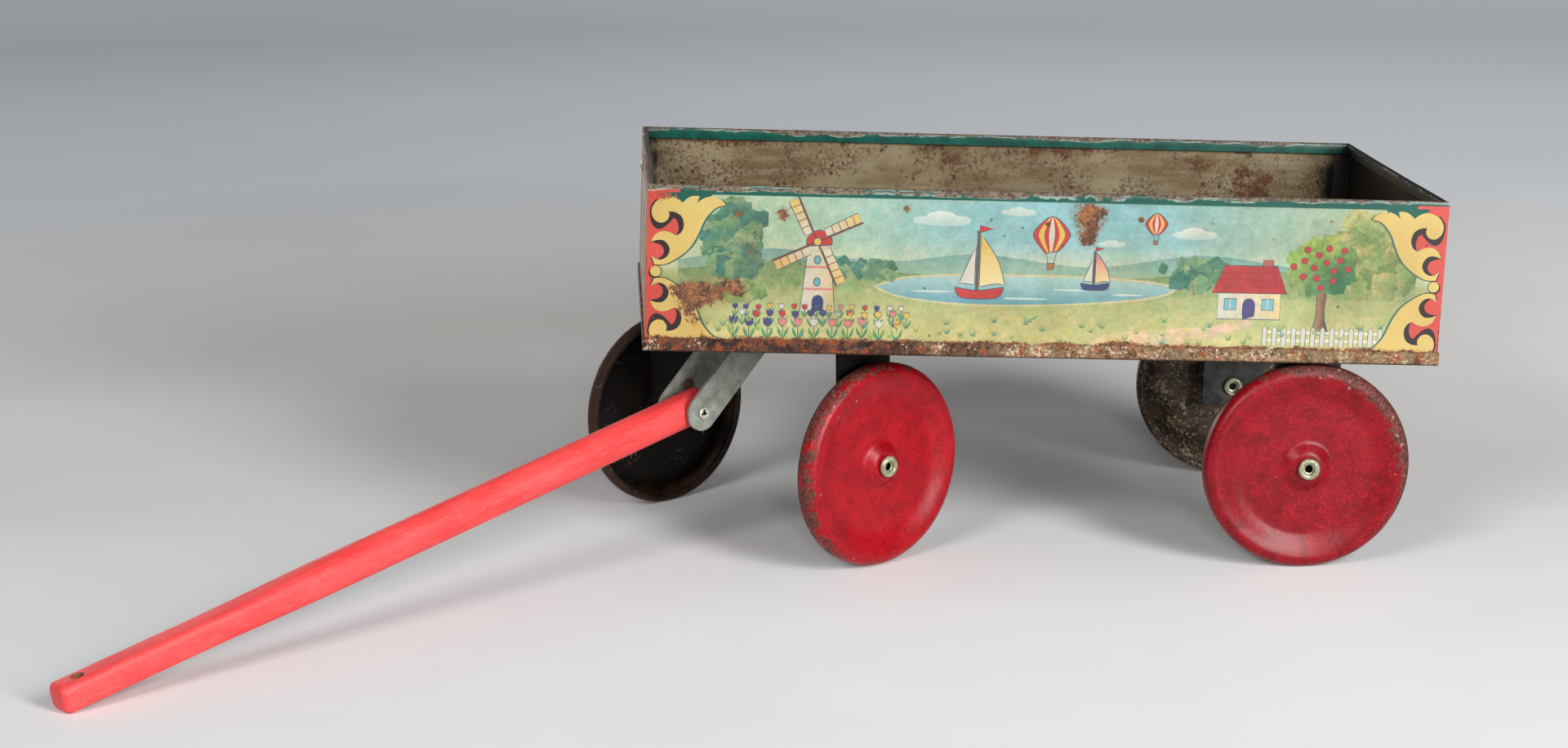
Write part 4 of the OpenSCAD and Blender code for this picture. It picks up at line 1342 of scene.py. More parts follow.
# Wear of each wall: blots outside and inside, scuffs, and the painted shade with tarnish along it
WEAR = {
    "near_side_wall": (NEAR_BLOTS, INNER_BLOTS, NEAR_SCUFFS, lambda u: 0.1),
    "far_side_wall": (FAR_BLOTS, FAR_INNER, OTHER_SCUFFS, lambda u: along_wall(u, FAR_TARNISH_AND_SHADE)),
    "front_wall": (END_BLOTS, INNER_BLOTS, OTHER_SCUFFS, lambda u: 0.3),
    "rear_wall": (END_BLOTS, INNER_BLOTS, OTHER_SCUFFS, lambda u: 1.0),
}
# Each wall: picture, its left end seen from outside, direction to the right, start of the mitre
WALLS = {
    "near_side_wall": ("side", (-half_l, -half_w, 0), (1, 0, 0), 0.0),
    "far_side_wall": ("side", (half_l, half_w, 0), (-1, 0, 0), 0.0),
    "front_wall": ("end", (-half_l, END_L / 2, 0), (0, -1, 0), SHEET),
    "rear_wall": ("end", (half_l, -END_L / 2, 0), (0, 1, 0), SHEET),
}
print("walls", list(WALLS))

# %% Corner tabs of the end walls
# Painted shade with some tarnish on the corner tabs, darkest at the rear.
TAB_TARNISH_AND_SHADE = {"front_wall": 0.5, "rear_wall": 1.0}
TAB_RUST, TAB_GAP = 0.5, 0.3


def add_tabs(mesh, tarnish):
    """Tabs folded from the ends of an end wall along the inside of the side walls."""
    bm = bmesh.new()
    bm.from_mesh(mesh)
    top = WALL_TOP - HEM_DEEP - TAB_GAP
    rust, dark = [bm.verts.layers.float[name] for name in ("rust", "tarnish")]
    for u in (0.0, END_L - SHEET):
        tab = bmesh.ops.create_cube(bm, size=1)["verts"]
        for v in tab:
            x, y, z = v.co + Vector((0.5, 0.5, 0.5))
            v.co = Vector((u + x * SHEET, SHEET + y * (CORNER_TAB - SHEET), z * top)) * MM
            v[rust], v[dark] = TAB_RUST, tarnish
        edges = list({e for v in tab for e in v.link_edges})
        bmesh.ops.bevel(bm, geom=edges, offset=SHEAR_EASE * MM, segments=2, affect="EDGES", profile=0.5)
    for face in bm.faces:
        if face.calc_center_median().y > SHEET * 1.2 * MM and face.material_index == PRINT:
            face.material_index = TIN
    bm.to_mesh(mesh)
    bm.free()


print("walls with tabs", list(TAB_TARNISH_AND_SHADE))

# %% [markdown]
# High on the rear wall a small hole was pierced, and light shows through it. A Boolean cuts it through the
# finished sheet, so that ink, rust, and the painted shade with tarnish stay where they are.

# %% Pierced hole, and the four walls
PIERCED_R, PIERCED_AT, PIERCED_DOWN = 0.8, 44.0, 19.0
PUNCH_SIDES, PUNCH_LONG = 20, 4.0
SEED_STEP = 1.7


def pierced(mesh):
    """The wall with a round hole through the sheet."""
    place = Vector((END_L / 2 + PIERCED_AT, 0, WALL_TOP - PIERCED_DOWN)) * MM
    bm = bmesh.new()
    bmesh.ops.create_cone(bm, cap_ends=True, segments=PUNCH_SIDES, radius1=PIERCED_R * MM,
                          radius2=PIERCED_R * MM, depth=PUNCH_LONG * MM,
                          matrix=Matrix.Translation(place) @ Matrix.Rotation(math.pi / 2, 4, "X"))
    punch, sheet = held(plain_mesh(bm, "punch")), held(mesh)
    cut = sheet.modifiers.new("cut", "BOOLEAN")
    cut.operation, cut.solver, cut.object = "DIFFERENCE", "EXACT", punch
    made = applied(sheet)
    bpy.data.objects.remove(punch)
    return made


for number, (node, (key, left, right, mitre_from)) in enumerate(WALLS.items()):
    mesh = wall_piece(key, SEED_STEP * number, mitre_from, WEAR[node])
    if key == "end":
        add_tabs(mesh, TAB_TARNISH_AND_SHADE[node])
    for finish in WALL_FINISHES:
        mesh.materials.append(finish)
    if node == "rear_wall":
        mesh = pierced(mesh)
    mesh.transform(TRAY @ frame_from(Vector(left) * MM, right, UP))
    show(node.replace("_wall", "_sheet"), mesh, "tray", [node])
    print(node, len(mesh.polygons), "faces")

# %% [markdown]
# The pan is a shallow box folded from one sheet. Its lip is drawn as loops round the tray, each loop at
# a depth from the outside and a height. The top of the lip is a little ragged with rust.

# %% The pan and its lip
RAGGED = 0.22


def pan_loop(inset, height, ragged=0.0):
    """Points round the pan, in millimetres."""
    hl, hw = PAN_L / 2, PAN_W / 2
    xs, ys = stations(PAN_L) - hl, stations(PAN_W) - hw
    plan = [(x, -hw) for x in xs[:-1]] + [(hl, y) for y in ys[:-1]]
    plan += [(x, hw) for x in xs[:0:-1]] + [(-hl, y) for y in ys[:0:-1]]
    rng = random.Random(5)
    rise = [height + ragged * rng.uniform(-1, 0.2) for _ in plan]
    return [(min(max(x, inset - hl), hl - inset), min(max(y, inset - hw), hw - inset), z)
            for (x, y), z in zip(plan, rise)]


def pan_piece():
    bm = bmesh.new()
    edge = bm.verts.layers.float.new("edge")
    bend = [(SHEET * (1 - math.sin(a)), SHEET * -math.cos(a)) for a in np.linspace(0, math.pi / 2, 4)]
    section = [(inset, height, 0.0) for inset, height in bend]
    inner, shoulder = SHEET - INSET, LIP_TOP - SHEAR_EASE
    section += [(0.0, LIP_TOP / 2, 0.0), (0.0, shoulder, RAGGED), (SHEAR_EASE, LIP_TOP, RAGGED),
                (SHEET - SHEAR_EASE, LIP_TOP, RAGGED), (inner, shoulder, RAGGED), (inner, 0.0, 0.0)]
    loops = [[bm.verts.new(Vector(p) * MM) for p in pan_loop(*row)] for row in section]
    for v in bm.verts:
        v[edge] = v.co.z + SHEET * MM
    for loop, after in zip(loops, loops[1:]):
        for i in range(len(loop)):
            j = (i + 1) % len(loop)
            bm.faces.new((loop[i], loop[j], after[j], after[i]))
    bm.faces.new(loops[0][::-1])
    bm.faces.new(loops[-1]).material_index = 1
    mesh = plain_mesh(bm, "pan")
    mesh.transform(TRAY)
    return mesh


show("pan_sheet", pan_piece(), "tray", ["floor_pan"], (PAN_FINISH, TIN_FINISH))

# %% [markdown]
# Wheels and rivets are all shapes turned about an axle, so one Geometry Nodes tree makes them. It takes
# a section, a chain of points with X as the distance from the axle and Z along it, and wraps a grid
# round the axle by sampling the section. A little seeded noise dents the pressing. The tree keeps the
# distance from the axle and the side of the sheet as attributes for the finish.

# %% Geometry tree: turned piece
SEAM_WELD = 0.001
DENT_SCALE = 70.0


def geometry_tree(name, inputs):
    tree = bpy.data.node_groups.new(name, "GeometryNodeTree")
    tree.is_modifier = True
    tree.interface.new_socket("Section", in_out="INPUT", socket_type="NodeSocketGeometry")
    for label, kind in inputs.items():
        tree.interface.new_socket(label, in_out="INPUT", socket_type="NodeSocket" + kind)
    tree.interface.new_socket("Piece", in_out="OUTPUT", socket_type="NodeSocketGeometry")
    return tree, add(tree, "NodeGroupInput").outputs, add(tree, "NodeGroupOutput").inputs


def wrapped_grid(section, around):
    """A grid with a row for each point of the section, and the fields of its rows and turns."""
    tree = section.id_data
    count = add(tree, "GeometryNodeAttributeDomainSize", {0: section}).outputs["Point Count"]
    wide = calc("ADD", around, 1.0)
    grid = add(tree, "GeometryNodeMeshGrid", {"Vertices X": count, "Vertices Y": wide}).outputs["Mesh"]
    index = add(tree, "GeometryNodeInputIndex").outputs[0]
    row = calc("FLOOR", calc("DIVIDE", calc("ADD", index, 0.5), wide))
    column = calc("MODULO", calc("SUBTRACT", index, times(row, wide)), around)
    turn = calc("DIVIDE", times(column, 2 * math.pi), around)
    return grid, row, turn


def sampled(section, row, field, kind="FLOAT"):
    inputs = {"Geometry": section, "Value": field, "Index": row}
    return add(section.id_data, "GeometryNodeSampleIndex", inputs, data_type=kind,
               domain="POINT").outputs["Value"]


def section_point(section, row):
    """The X, Y and Z of the section's point for each row."""
    position = add(section.id_data, "GeometryNodeInputPosition").outputs[0]
    found = sampled(section, row, position, "FLOAT_VECTOR")
    return add(section.id_data, "ShaderNodeSeparateXYZ", {0: found}).outputs


def named(tree, name, kind="FLOAT"):
    read = add(tree, "GeometryNodeInputNamedAttribute", {"Name": name}, data_type=kind)
    return read.outputs["Attribute"]


def stored(geometry, name, value, domain="POINT"):
    inputs = {"Geometry": geometry, "Name": name, "Value": value}
    return add(geometry.id_data, "GeometryNodeStoreNamedAttribute", inputs, data_type="FLOAT",
               domain=domain).outputs["Geometry"]


def placed_points(geometry, x, y, z):
    tree = geometry.id_data
    place = add(tree, "ShaderNodeCombineXYZ", {0: x, 1: y, 2: z}).outputs[0]
    moved = add(tree, "GeometryNodeSetPosition", {"Geometry": geometry, "Position": place})
    return moved.outputs["Geometry"]


def finished(geometry, finish, result):
    """The end of every tree: real geometry with its finish on it."""
    tree = geometry.id_data
    real = add(tree, "GeometryNodeRealizeInstances", {"Geometry": geometry}).outputs["Geometry"]
    made = add(tree, "GeometryNodeSetMaterial", {"Geometry": real, "Material": finish}).outputs["Geometry"]
    join(made, result["Piece"])


def welded(geometry):
    inputs = {"Geometry": geometry, "Distance": SEAM_WELD * MM}
    return add(geometry.id_data, "GeometryNodeMergeByDistance", inputs).outputs["Geometry"]


def turned_tree():
    tree, given, result = geometry_tree("Turned piece", {
        "Segments": "Int", "Dent": "Float", "Seed": "Float", "Worn side": "Float", "Wear": "Float",
        "Finish": "Material"})
    section = given["Section"]
    grid, row, turn = wrapped_grid(section, given["Segments"])
    point = section_point(section, row)
    x = times(point["X"], calc("COSINE", turn))
    y = times(point["X"], calc("SINE", turn))
    flat = add(tree, "ShaderNodeCombineXYZ", {0: x, 1: y}).outputs[0]
    inputs = {"Vector": flat, "W": given["Seed"], "Scale": DENT_SCALE, "Detail": 1.0}
    dents = add(tree, "ShaderNodeTexNoise", inputs,
                noise_dimensions="4D").outputs["Fac"]
    z = muladd(calc("SUBTRACT", dents, 0.5), given["Dent"], point["Z"])
    kept = stored(grid, "ring", point["X"])
    facing = calc("COSINE", calc("SUBTRACT", turn, given["Worn side"]))
    kept = stored(kept, "worn", times(facing, given["Wear"]))
    kept = stored(kept, "back", sampled(section, row, named(tree, "back")))
    finished(welded(placed_points(kept, x, y, z)), given["Finish"], result)
    return tree


TURNED = turned_tree()
print("tree", TURNED.name, len(TURNED.nodes), "nodes")

# %% Bake a tree into a plain mesh
def section_mesh(points, **attributes):
    """A chain of points in millimetres, with float attributes, as the input of a tree."""
    mesh = bpy.data.meshes.new("section")
    chain = [(i, i + 1) for i in range(len(points) - 1)]
    mesh.from_pydata([Vector(p) * MM for p in points], chain, [])
    for name, values in attributes.items():
        mesh.attributes.new(name, "FLOAT", "POINT").data.foreach_set("value", [float(v) for v in values])
    return mesh


def bake(tree, source, **values):
    """The tree's result for a source mesh, as a new mesh. Underscores in names stand for spaces."""
    holder = held(source)
    modifier = holder.modifiers.new("tree", "NODES")
    modifier.node_group = tree
    sockets = {s.name: s.identifier for s in tree.interface.items_tree if s.in_out == "INPUT"}
    for name, value in values.items():
        modifier[sockets[name.replace("_", " ")]] = value
    return applied(holder)


def outward(mesh):
    """Turns a closed mesh the right way out, and says whether it is closed."""
    bm = bmesh.new()
    bm.from_mesh(mesh)
    if bm.calc_volume(signed=True) < 0:
        bmesh.ops.reverse_faces(bm, faces=bm.faces)
    bm.to_mesh(mesh)
    closed = all(edge.is_manifold for edge in bm.edges)
    bm.free()
    return closed


print("baking ready")

# %% [markdown]
# A wheel is one disc of tin pressed into a cup. Its section follows the press: a curled inner edge, the
# tread, a broad round shoulder, a soft slope down to the flat disc, and a small boss at the hub. The
# middle line of the sheet is drawn first and then given its thickness. The paint gives out on the tread.

# %% Section of a wheel
WHEEL_R = float(wheel_high[0])
RIM_W = 6.6
WHEEL_T = 0.7
CURL_R = 0.9
SHOULDER_R = 3.0
DISC_R = 0.67 * WHEEL_R
TREAD_PAINT, TREAD_FADE = {"near": -1.4, "far": 1.6}, 1.4
DISC_SUNK = 2.7
BOSS_R, BOSS_TOP_R, BOSS_H = 7.8, 4.6, 2.7
HUB_R, PIN_FIT = 2.6, 0.05
WHEEL_SEGMENTS = 160


def arc(centre, r, start, end, steps=7):
    return [(centre[0] + r * math.cos(math.radians(a)), centre[1] + r * math.sin(math.radians(a)))
            for a in np.linspace(start, end, steps + 1)]


def filleted(points, radius, steps=4):
    """A chain of points with its inner corners rounded."""
    chain = [points[0]]
    for a, b, c in zip(points, points[1:], points[2:]):
        a, b, c = Vector(a), Vector(b), Vector(c)
        cut = min(radius, (a - b).length / 2.2, (c - b).length / 2.2)
        start, end = b + (a - b).normalized() * cut, b + (c - b).normalized() * cut
        chain += [tuple(start * (1 - t) ** 2 + b * 2 * t * (1 - t) + end * t * t)
                  for t in np.linspace(0, 1, steps + 1)]
    return chain + [points[-1]]


def sheet_section(path, thickness):
    """The closed outline of a sheet about a path, and whether each point is on its back."""
    p = np.array(path)
    along = np.gradient(p, axis=0)
    side = np.stack([-along[:, 1], along[:, 0]], 1) / np.linalg.norm(along, axis=1, keepdims=True)
    one, other = p + side * thickness / 2, (p - side * thickness / 2)[::-1]
    loop = [(r, 0.0, a) for r, a in np.concatenate([one, other, one[:1]])]
    return loop, [1.0] * len(one) + [0.0] * len(other) + [1.0]


def wheel_section(paint_to):
    """The outline of the pressing, how far each point counts as bare metal, and the height of the boss."""
    tread = WHEEL_R - WHEEL_T / 2
    crown_r, crown_a = tread - SHOULDER_R, RIM_W / 2 - WHEEL_T / 2
    disc_a = crown_a - DISC_SUNK
    boss_a = disc_a + BOSS_H
    curl = arc((tread - CURL_R, CURL_R - crown_a), CURL_R, 140, 360, 12)
    shoulder = arc((crown_r, crown_a - SHOULDER_R), SHOULDER_R, 0, 90, 12)
    slope = []
    for t in np.linspace(0, 1, 15)[1:]:
        sunk = (1.5 + math.cos(math.pi * t) / 2 - t) / 2
        slope.append((crown_r + (DISC_R - crown_r) * t, disc_a + DISC_SUNK * sunk))
    rings = [(r, disc_a) for r in np.linspace(DISC_R - 3, BOSS_R + 2.5, 5)]
    boss = [(BOSS_R, disc_a), (BOSS_TOP_R, boss_a), (HUB_R + PIN_FIT, boss_a)]
    face = filleted([slope[-1], *rings, *boss], BOSS_BEND)
    loop, back = sheet_section(curl + shoulder + slope + face[1:], WHEEL_T)
    unpainted = [0.9 * min(max((paint_to - a) / TREAD_FADE, 0.0), 1.0) * (r > crown_r) for r, _, a in loop]
    bare = [1.0 if inner else amount for inner, amount in zip(back, unpainted)]
    return loop, bare, boss_a


WHEEL_DENT = 0.45 * MM
BOSS_BEND = 1.8
# Each wheel's most worn side, in degrees round from its X, and how worn it is there
WORN = {"rear_near_wheel": (40, 1.1), "rear_far_wheel": (150, 0.6), "front_near_wheel": (150, 0.42),
        "front_far_wheel": (80, 0.6)}
for number, (node, place) in enumerate(WHEELS.items()):
    wheel_loop, bare, boss_top = wheel_section(TREAD_PAINT[node.split("_")[1]])
    worn_side, wear = WORN[node]
    mesh = bake(TURNED, section_mesh(wheel_loop, back=bare), Segments=WHEEL_SEGMENTS, Dent=WHEEL_DENT,
                Seed=3.0 + number, Worn_side=math.radians(worn_side), Wear=wear, Finish=WHEEL_FINISH)
    closed = outward(mesh)
    mesh.transform(place)
    show(node.replace("_wheel", "_cup_wheel"), mesh, node, [node])
    print(node, "closed", closed, len(mesh.polygons), "faces")

# %% [markdown]
# Each wheel turns on a hollow rivet with rolled ends, one inside the ear and a fatter one outside the
# hub. The same tree turns the rivet. A second tree sets a pair of them on their points, each turned to
# face out of the wagon, because what repeats is best kept as one shape and a list of places.

# %% Geometry tree: rivets on points
def rivets_tree():
    tree, given, result = geometry_tree("Rivets on points", {"Rivet": "Object", "Finish": "Material"})
    rivet = add(tree, "GeometryNodeObjectInfo", {"Object": given["Rivet"]}).outputs["Geometry"]
    out = named(tree, "out", "FLOAT_VECTOR")
    facing = add(tree, "FunctionNodeAlignRotationToVector", {"Vector": out}, axis="Z").outputs["Rotation"]
    points = add(tree, "GeometryNodeMeshToPoints", {"Mesh": given["Section"]}).outputs["Points"]
    placed = add(tree, "GeometryNodeInstanceOnPoints", {"Points": points, "Instance": rivet,
                                                        "Rotation": facing}).outputs["Instances"]
    finished(placed, given["Finish"], result)
    return tree


RIVETS = rivets_tree()
HUB_ROLL_R, EAR_ROLL_R = 0.95, 0.75
HUB_ROLL_IN, EAR_ROLL_IN = 0.5, 0.4
RUN_GAP = 0.3
EAR_GAP, EAR_T = 6.8, 1.2
HUB_SEGMENTS = 40


def hub_rivet_loop():
    """The closed section of a hub rivet, from the bore round the outer roll to the roll in the ear."""
    out = boss_top + WHEEL_T / 2 + RUN_GAP + HUB_ROLL_R
    back = -EAR_GAP - EAR_T - PIN_FIT - EAR_ROLL_R
    lip = arc((HUB_R, out), HUB_ROLL_R, 200, -90, 12)
    foot = arc((HUB_R, back), EAR_ROLL_R, 90, -200, 10)
    loop = [(HUB_BORE_R, out - HUB_ROLL_IN)] + lip + foot + [(HUB_BORE_R, back + EAR_ROLL_IN)]
    loop.append(loop[0])
    return [(r, 0.0, a) for r, a in loop]


def rivet_pair(name, end, body, finish):
    one = bpy.data.objects.new("rivet", bake(TURNED, section_mesh(hub_rivet_loop()), Segments=HUB_SEGMENTS,
                                             Dent=0.0, Seed=0.0, Finish=finish))
    places = [WHEELS[f"{end}_{side}_wheel"] for side in ("near", "far")]
    points = section_mesh([p.translation / MM for p in places])
    points.attributes.new("out", "FLOAT_VECTOR", "POINT").data.foreach_set(
        "vector", [c for p in places for c in p.col[2][:3]])
    mesh = bake(RIVETS, points, Rivet=one, Finish=finish)
    bpy.data.objects.remove(one)
    print(name, "closed", outward(mesh), len(mesh.polygons), "faces")
    return show(name, mesh, body, [f"{end}_hub_rivets"])


rivet_pair("rear_hub_rivet_pair", "rear", "tray", HUB_FINISH)
rivet_pair("front_hub_rivet_pair", "front", "front_truck", HUB_FINISH)

# %% [markdown]
# The handle's pivot is a smaller hollow rivet. Its near end was set with three punch marks, which leave
# a pinched three-cornered hole in a pale ring. The turned mesh is pinched afterwards by moving the
# points of its bore.

# %% Handle pivot rivet
PIVOT_R, PIVOT_ROLL_R = 1.6, 0.5
PIVOT_HEAD_R, PIVOT_HEAD_H = 2.7, 1.1
PIVOT_BORE_L, PIVOT_ROLL_IN = 3.0, 0.3
PINCH, PINCH_SHUT, PINCH_REACH = 0.38, 0.15, 0.25
pivot_low, pivot_high = local_box("handle_pivot_rivet", PIVOT)
rivet_place = frame_from(joints["handle_lift"]["pos_m"], UP, -truck_side)


def pivot_loop():
    near_end = -float(pivot_low[1]) - PIVOT_ROLL_R
    far_face = -float(pivot_high[1]) + PIVOT_HEAD_H
    lip = arc((PIVOT_R, near_end), PIVOT_ROLL_R, 190, -90, 10)
    head = [(PIVOT_HEAD_R * math.cos(a), far_face - PIVOT_HEAD_H * math.sin(a))
            for a in np.linspace(0, math.pi / 2, 7)]
    bottom = near_end - PIVOT_BORE_L
    bore = [(0.0, bottom), (PIVOT_BORE_R, bottom), (PIVOT_BORE_R, near_end - PIVOT_ROLL_IN)]
    return [(max(r, 0.0), 0.0, a) for r, a in bore + lip + [(PIVOT_R, far_face)] + head]


pivot_mesh = bake(TURNED, section_mesh(pivot_loop()), Segments=HUB_SEGMENTS, Dent=0.0, Seed=0.0,
                  Finish=PIVOT_FINISH)
for v in pivot_mesh.vertices:
    r = math.hypot(v.co.x, v.co.y)
    if 0 < r < (PIVOT_BORE_R + PINCH_REACH) * MM and v.co.z > 0:
        share = 1 + PINCH * math.cos(3 * math.atan2(v.co.y, v.co.x)) - PINCH_SHUT
        v.co.x, v.co.y = v.co.x * share, v.co.y * share
print("pivot rivet closed", outward(pivot_mesh))
pivot_mesh.transform(rivet_place)
show("pinched_pivot_rivet", pivot_mesh, "front_truck", ["handle_pivot_rivet"])

# %% [markdown]
# The handle is a turned dowel, planed to a squared grip for the last third. Its rule is simple: at each
# station along it a width, a height and a squareness, the power of a superellipse. A tree sweeps those
# stations, and cuts the cord hole and the pivot hole as real holes.

# %% Geometry tree: shaped dowel
HANDLE = frame_from(joints["handle_lift"]["pos_m"], -handle_along, mounts["cord_hole"]["axis"])
handle_low, handle_high = local_box("handle", HANDLE)
GRIP_L, GRIP_TAPER = 112.0, 66.0
GRIP_W, GRIP_H, GRIP_SQUARE = 9.6, 8.6, 4.5
BUTT_ROUND, TIP_ROUND = 2.4, 2.2
TIP_SHY = 0.2
CORD_HOLE_R = mounts["cord_hole"]["dims"]["r_mm"]
HANDLE_SIDES, CUTTER_SIDES = 64, 48
CUTTER_L = 40.0
ROUND = 2.0


def powered(value, power):
    """A signed power, which squares a circle."""
    size = calc("POWER", calc("ABSOLUTE", value), power)
    return times(size, calc("SIGN", value))


def dowel_tree():
    tree, given, result = geometry_tree("Shaped dowel", {
        "Sides": "Int", "Cord hole radius": "Float", "Cord hole at": "Float", "Pivot hole radius": "Float",
        "Finish": "Material"})
    section = given["Section"]
    grid, row, turn = wrapped_grid(section, given["Sides"])
    point = section_point(section, row)
    power = calc("DIVIDE", 2.0, sampled(section, row, named(tree, "square")))
    y = times(point["Y"], powered(calc("COSINE", turn), power))
    z = times(point["Z"], powered(calc("SINE", turn), power))
    kept = stored(grid, "grip", sampled(section, row, named(tree, "grip")))
    blank = welded(placed_points(kept, point["X"], y, z))
    cutters = []
    for radius, at, turned in ((given["Cord hole radius"], given["Cord hole at"], (0, 0, 0)),
                               (given["Pivot hole radius"], 0.0, (math.pi / 2, 0, 0))):
        pin = add(tree, "GeometryNodeMeshCylinder", {
            "Vertices": CUTTER_SIDES, "Radius": radius, "Depth": CUTTER_L * MM}).outputs["Mesh"]
        place = add(tree, "ShaderNodeCombineXYZ", {0: at}).outputs[0]
        cutters.append(add(tree, "GeometryNodeTransform", {
            "Geometry": stored(pin, "bore", 1.0, "FACE"), "Translation": place,
            "Rotation": turned}).outputs["Geometry"])
    cut = add(tree, "GeometryNodeMeshBoolean", {"Mesh 1": blank}, operation="DIFFERENCE", solver="EXACT")
    for cutter in cutters:
        join(cutter, cut.inputs["Mesh 2"])
    finished(cut.outputs["Mesh"], given["Finish"], result)
    return tree


def rounded_end(end, r, inwards, half_w, half_h, power):
    """Stations from the outermost ring of a rounded end to where it is full size."""
    rows = []
    for a in np.radians(np.linspace(90, 0, 7)):
        inset = r * (1 - math.cos(a))
        rows.append((end + inwards * r * (1 - math.sin(a)), half_w - inset, half_h - inset, power))
    return rows


def handle_stations():
    """Points of (along, half width, half height), and the squareness and grip at each."""
    r = float(handle_high[1])
    butt, tip = float(handle_high[0]), float(handle_low[0]) + TIP_SHY
    turned_to = tip + GRIP_L
    planed_from = turned_to - GRIP_TAPER
    half_w, half_h = GRIP_W / 2, GRIP_H / 2
    rows = [(butt, 0.0, 0.0, ROUND)] + rounded_end(butt, BUTT_ROUND, -1, r, r, ROUND)
    rows += [(x, r, r, ROUND) for x in np.linspace(butt - BUTT_ROUND, turned_to, 30)[1:]]
    for t in np.linspace(0, 1, 12)[1:]:
        ease = t * t * (3 - 2 * t)
        rows.append((turned_to - GRIP_TAPER * t, r + (half_w - r) * ease, r + (half_h - r) * ease,
                     ROUND + (GRIP_SQUARE - ROUND) * ease))
    rows += [(x, half_w, half_h, GRIP_SQUARE) for x in np.linspace(planed_from, tip + TIP_ROUND, 10)[1:]]
    rows += rounded_end(tip, TIP_ROUND, 1, half_w, half_h, GRIP_SQUARE)[-2::-1]
    rows.append((tip, 0.0, 0.0, GRIP_SQUARE))
    grip = [min(1.0, max(0.0, (turned_to - x) / GRIP_L)) for x, _, _, _ in rows]
    return section_mesh([row[:3] for row in rows], square=[row[3] for row in rows], grip=grip)


handle_mesh = bake(dowel_tree(), handle_stations(), Sides=HANDLE_SIDES, Cord_hole_radius=CORD_HOLE_R * MM,
                   Cord_hole_at=-handle_along.length, Pivot_hole_radius=(PIVOT_R + PIN_FIT) * MM,
                   Finish=HANDLE_FINISH)
print("handle closed", outward(handle_mesh), len(handle_mesh.polygons), "faces")
handle_mesh.transform(HANDLE)
show("painted_dowel", handle_mesh, "pull_handle", ["handle"])

# %% [markdown]
# The bolsters and the yoke are bent plate, and the CAD shapes are right but too sharp: shears and bending
# leave a rounded edge that catches the light. Each gets a copy with its loose triangles merged, flat
# faces joined, and a small Bevel, baked into a plain mesh.

# %% Bent plates with eased edges
EASE = 0.22
FLAT, SHARP = 0.5, 40.0
WELD = 0.002


def eased_copy(node, width):
    mesh = frame["nodes"][node].data.copy()
    mesh.materials.clear()
    bm = bmesh.new()
    bm.from_mesh(mesh)
    bmesh.ops.remove_doubles(bm, verts=bm.verts, dist=WELD * MM)
    bmesh.ops.dissolve_limit(bm, angle_limit=math.radians(FLAT), verts=bm.verts, edges=bm.edges)
    bm.to_mesh(mesh)
    bm.free()
    holder = held(mesh)
    bevel = holder.modifiers.new("eased", "BEVEL")
    bevel.width = width * MM
    bevel.segments = 2
    bevel.limit_method = "ANGLE"
    bevel.angle_limit = math.radians(SHARP)
    return applied(holder)


for node, name, body, slot, finish in (
        ("rear_bolster", "rear_bent_bolster", "tray", "bolster_steel", STEEL_FINISH),
        ("front_bolster", "front_bent_bolster", "front_truck", "bolster_steel", SHADED_BLACK_FINISH),
        ("drawbar_yoke", "bent_yoke", "front_truck", "yoke_zinc", ZINC_FINISH)):
    plate = show(name, eased_copy(node, EASE), body, [node], [finish])
    print(name, len(plate.data.polygons), "faces")

# %% [markdown]
# The small rivets, the king pin, its washer and the hub sleeves have their right shape already. They
# stay as they are and get a finish.

# %% Finishes for the plain CAD nodes
for finish, names in ((RUSTY_FINISH, ("yoke_stud",)),
                      (STEEL_FINISH, ("rear_bolster_rivets", "yoke_rivets", "swivel_washer")),
                      (PIN_FINISH, ("front_wall_rivet", "king_pin", "rear_hub_sleeves",
                                    "front_hub_sleeves"))):
    for name in names:
        for place in frame["nodes"][name].material_slots:
            place.material = finish
print("plain nodes finished")

# %% [markdown]
# The studio is a wide pale floor and soft lights. The floor's tones, listed by the way back from the front pin,
# are painted light and shade, and it is painted dimmer at the back on the left. Far off the lights can't reach
# it, so there it is given a painted glow and ends in the grey of the room, with no horizon to be seen. From
# below it is clear, so that the underside can be looked at too.

# %% Floor
FLOOR_HALF = 9.0
# Each tone of painted light and shade: metres back, level, and warmth of the paper
FLOOR_TONES = ((-1.6, 0.05, 0.0), (-0.8, 0.11, 0.3), (-0.42, 0.42, 0.7), (-0.25, 0.717, 0.87),
               (-0.05, 0.799, 0.72), (0.1, 0.813, 0.88), (0.25, 0.98, 0.98), (0.4, 0.8, 1.25),
               (0.8, 0.479, 1.25), (1.6, 0.29, 1.25))
# Each glow: metres away on any side, and strength
FAR_GLOW = ((0.3, 0.0), (0.42, 0.025), (0.6, 0.178), (0.86, 0.3), (1.2, 0.323), (1.6, 0.284), (4.0, 0.5))
# Painted shade makes the floor dimmer at the back on the left: by how much, and over which X, Y and reach
DUSK = 0.166
DUSK_X, DUSK_Y, DUSK_REACH = (0.4, -0.45), (0.0, 0.25), (4.0, 2.0)
WARM_PAPER, COOL_PAPER = Vector((1.0, 0.99, 0.972)), Vector((0.917, 0.997, 1.086))


def ramp_along(value, stops):
    """A colour that runs through stops of (value, colour)."""
    first, last = stops[0][0], stops[-1][0]
    share = add(value.id_data, "ShaderNodeMapRange", {0: value, 1: first, 2: last}).outputs[0]
    ramp = add(value.id_data, "ShaderNodeValToRGB", {0: share})
    made = ramp.color_ramp.elements
    for at, colour in stops:
        t = (at - first) / (last - first)
        stop = made[0] if t == 0 else made[-1] if t == 1 else made.new(t)
        stop.color = (*colour, 1.0)
    return ramp.outputs[0]


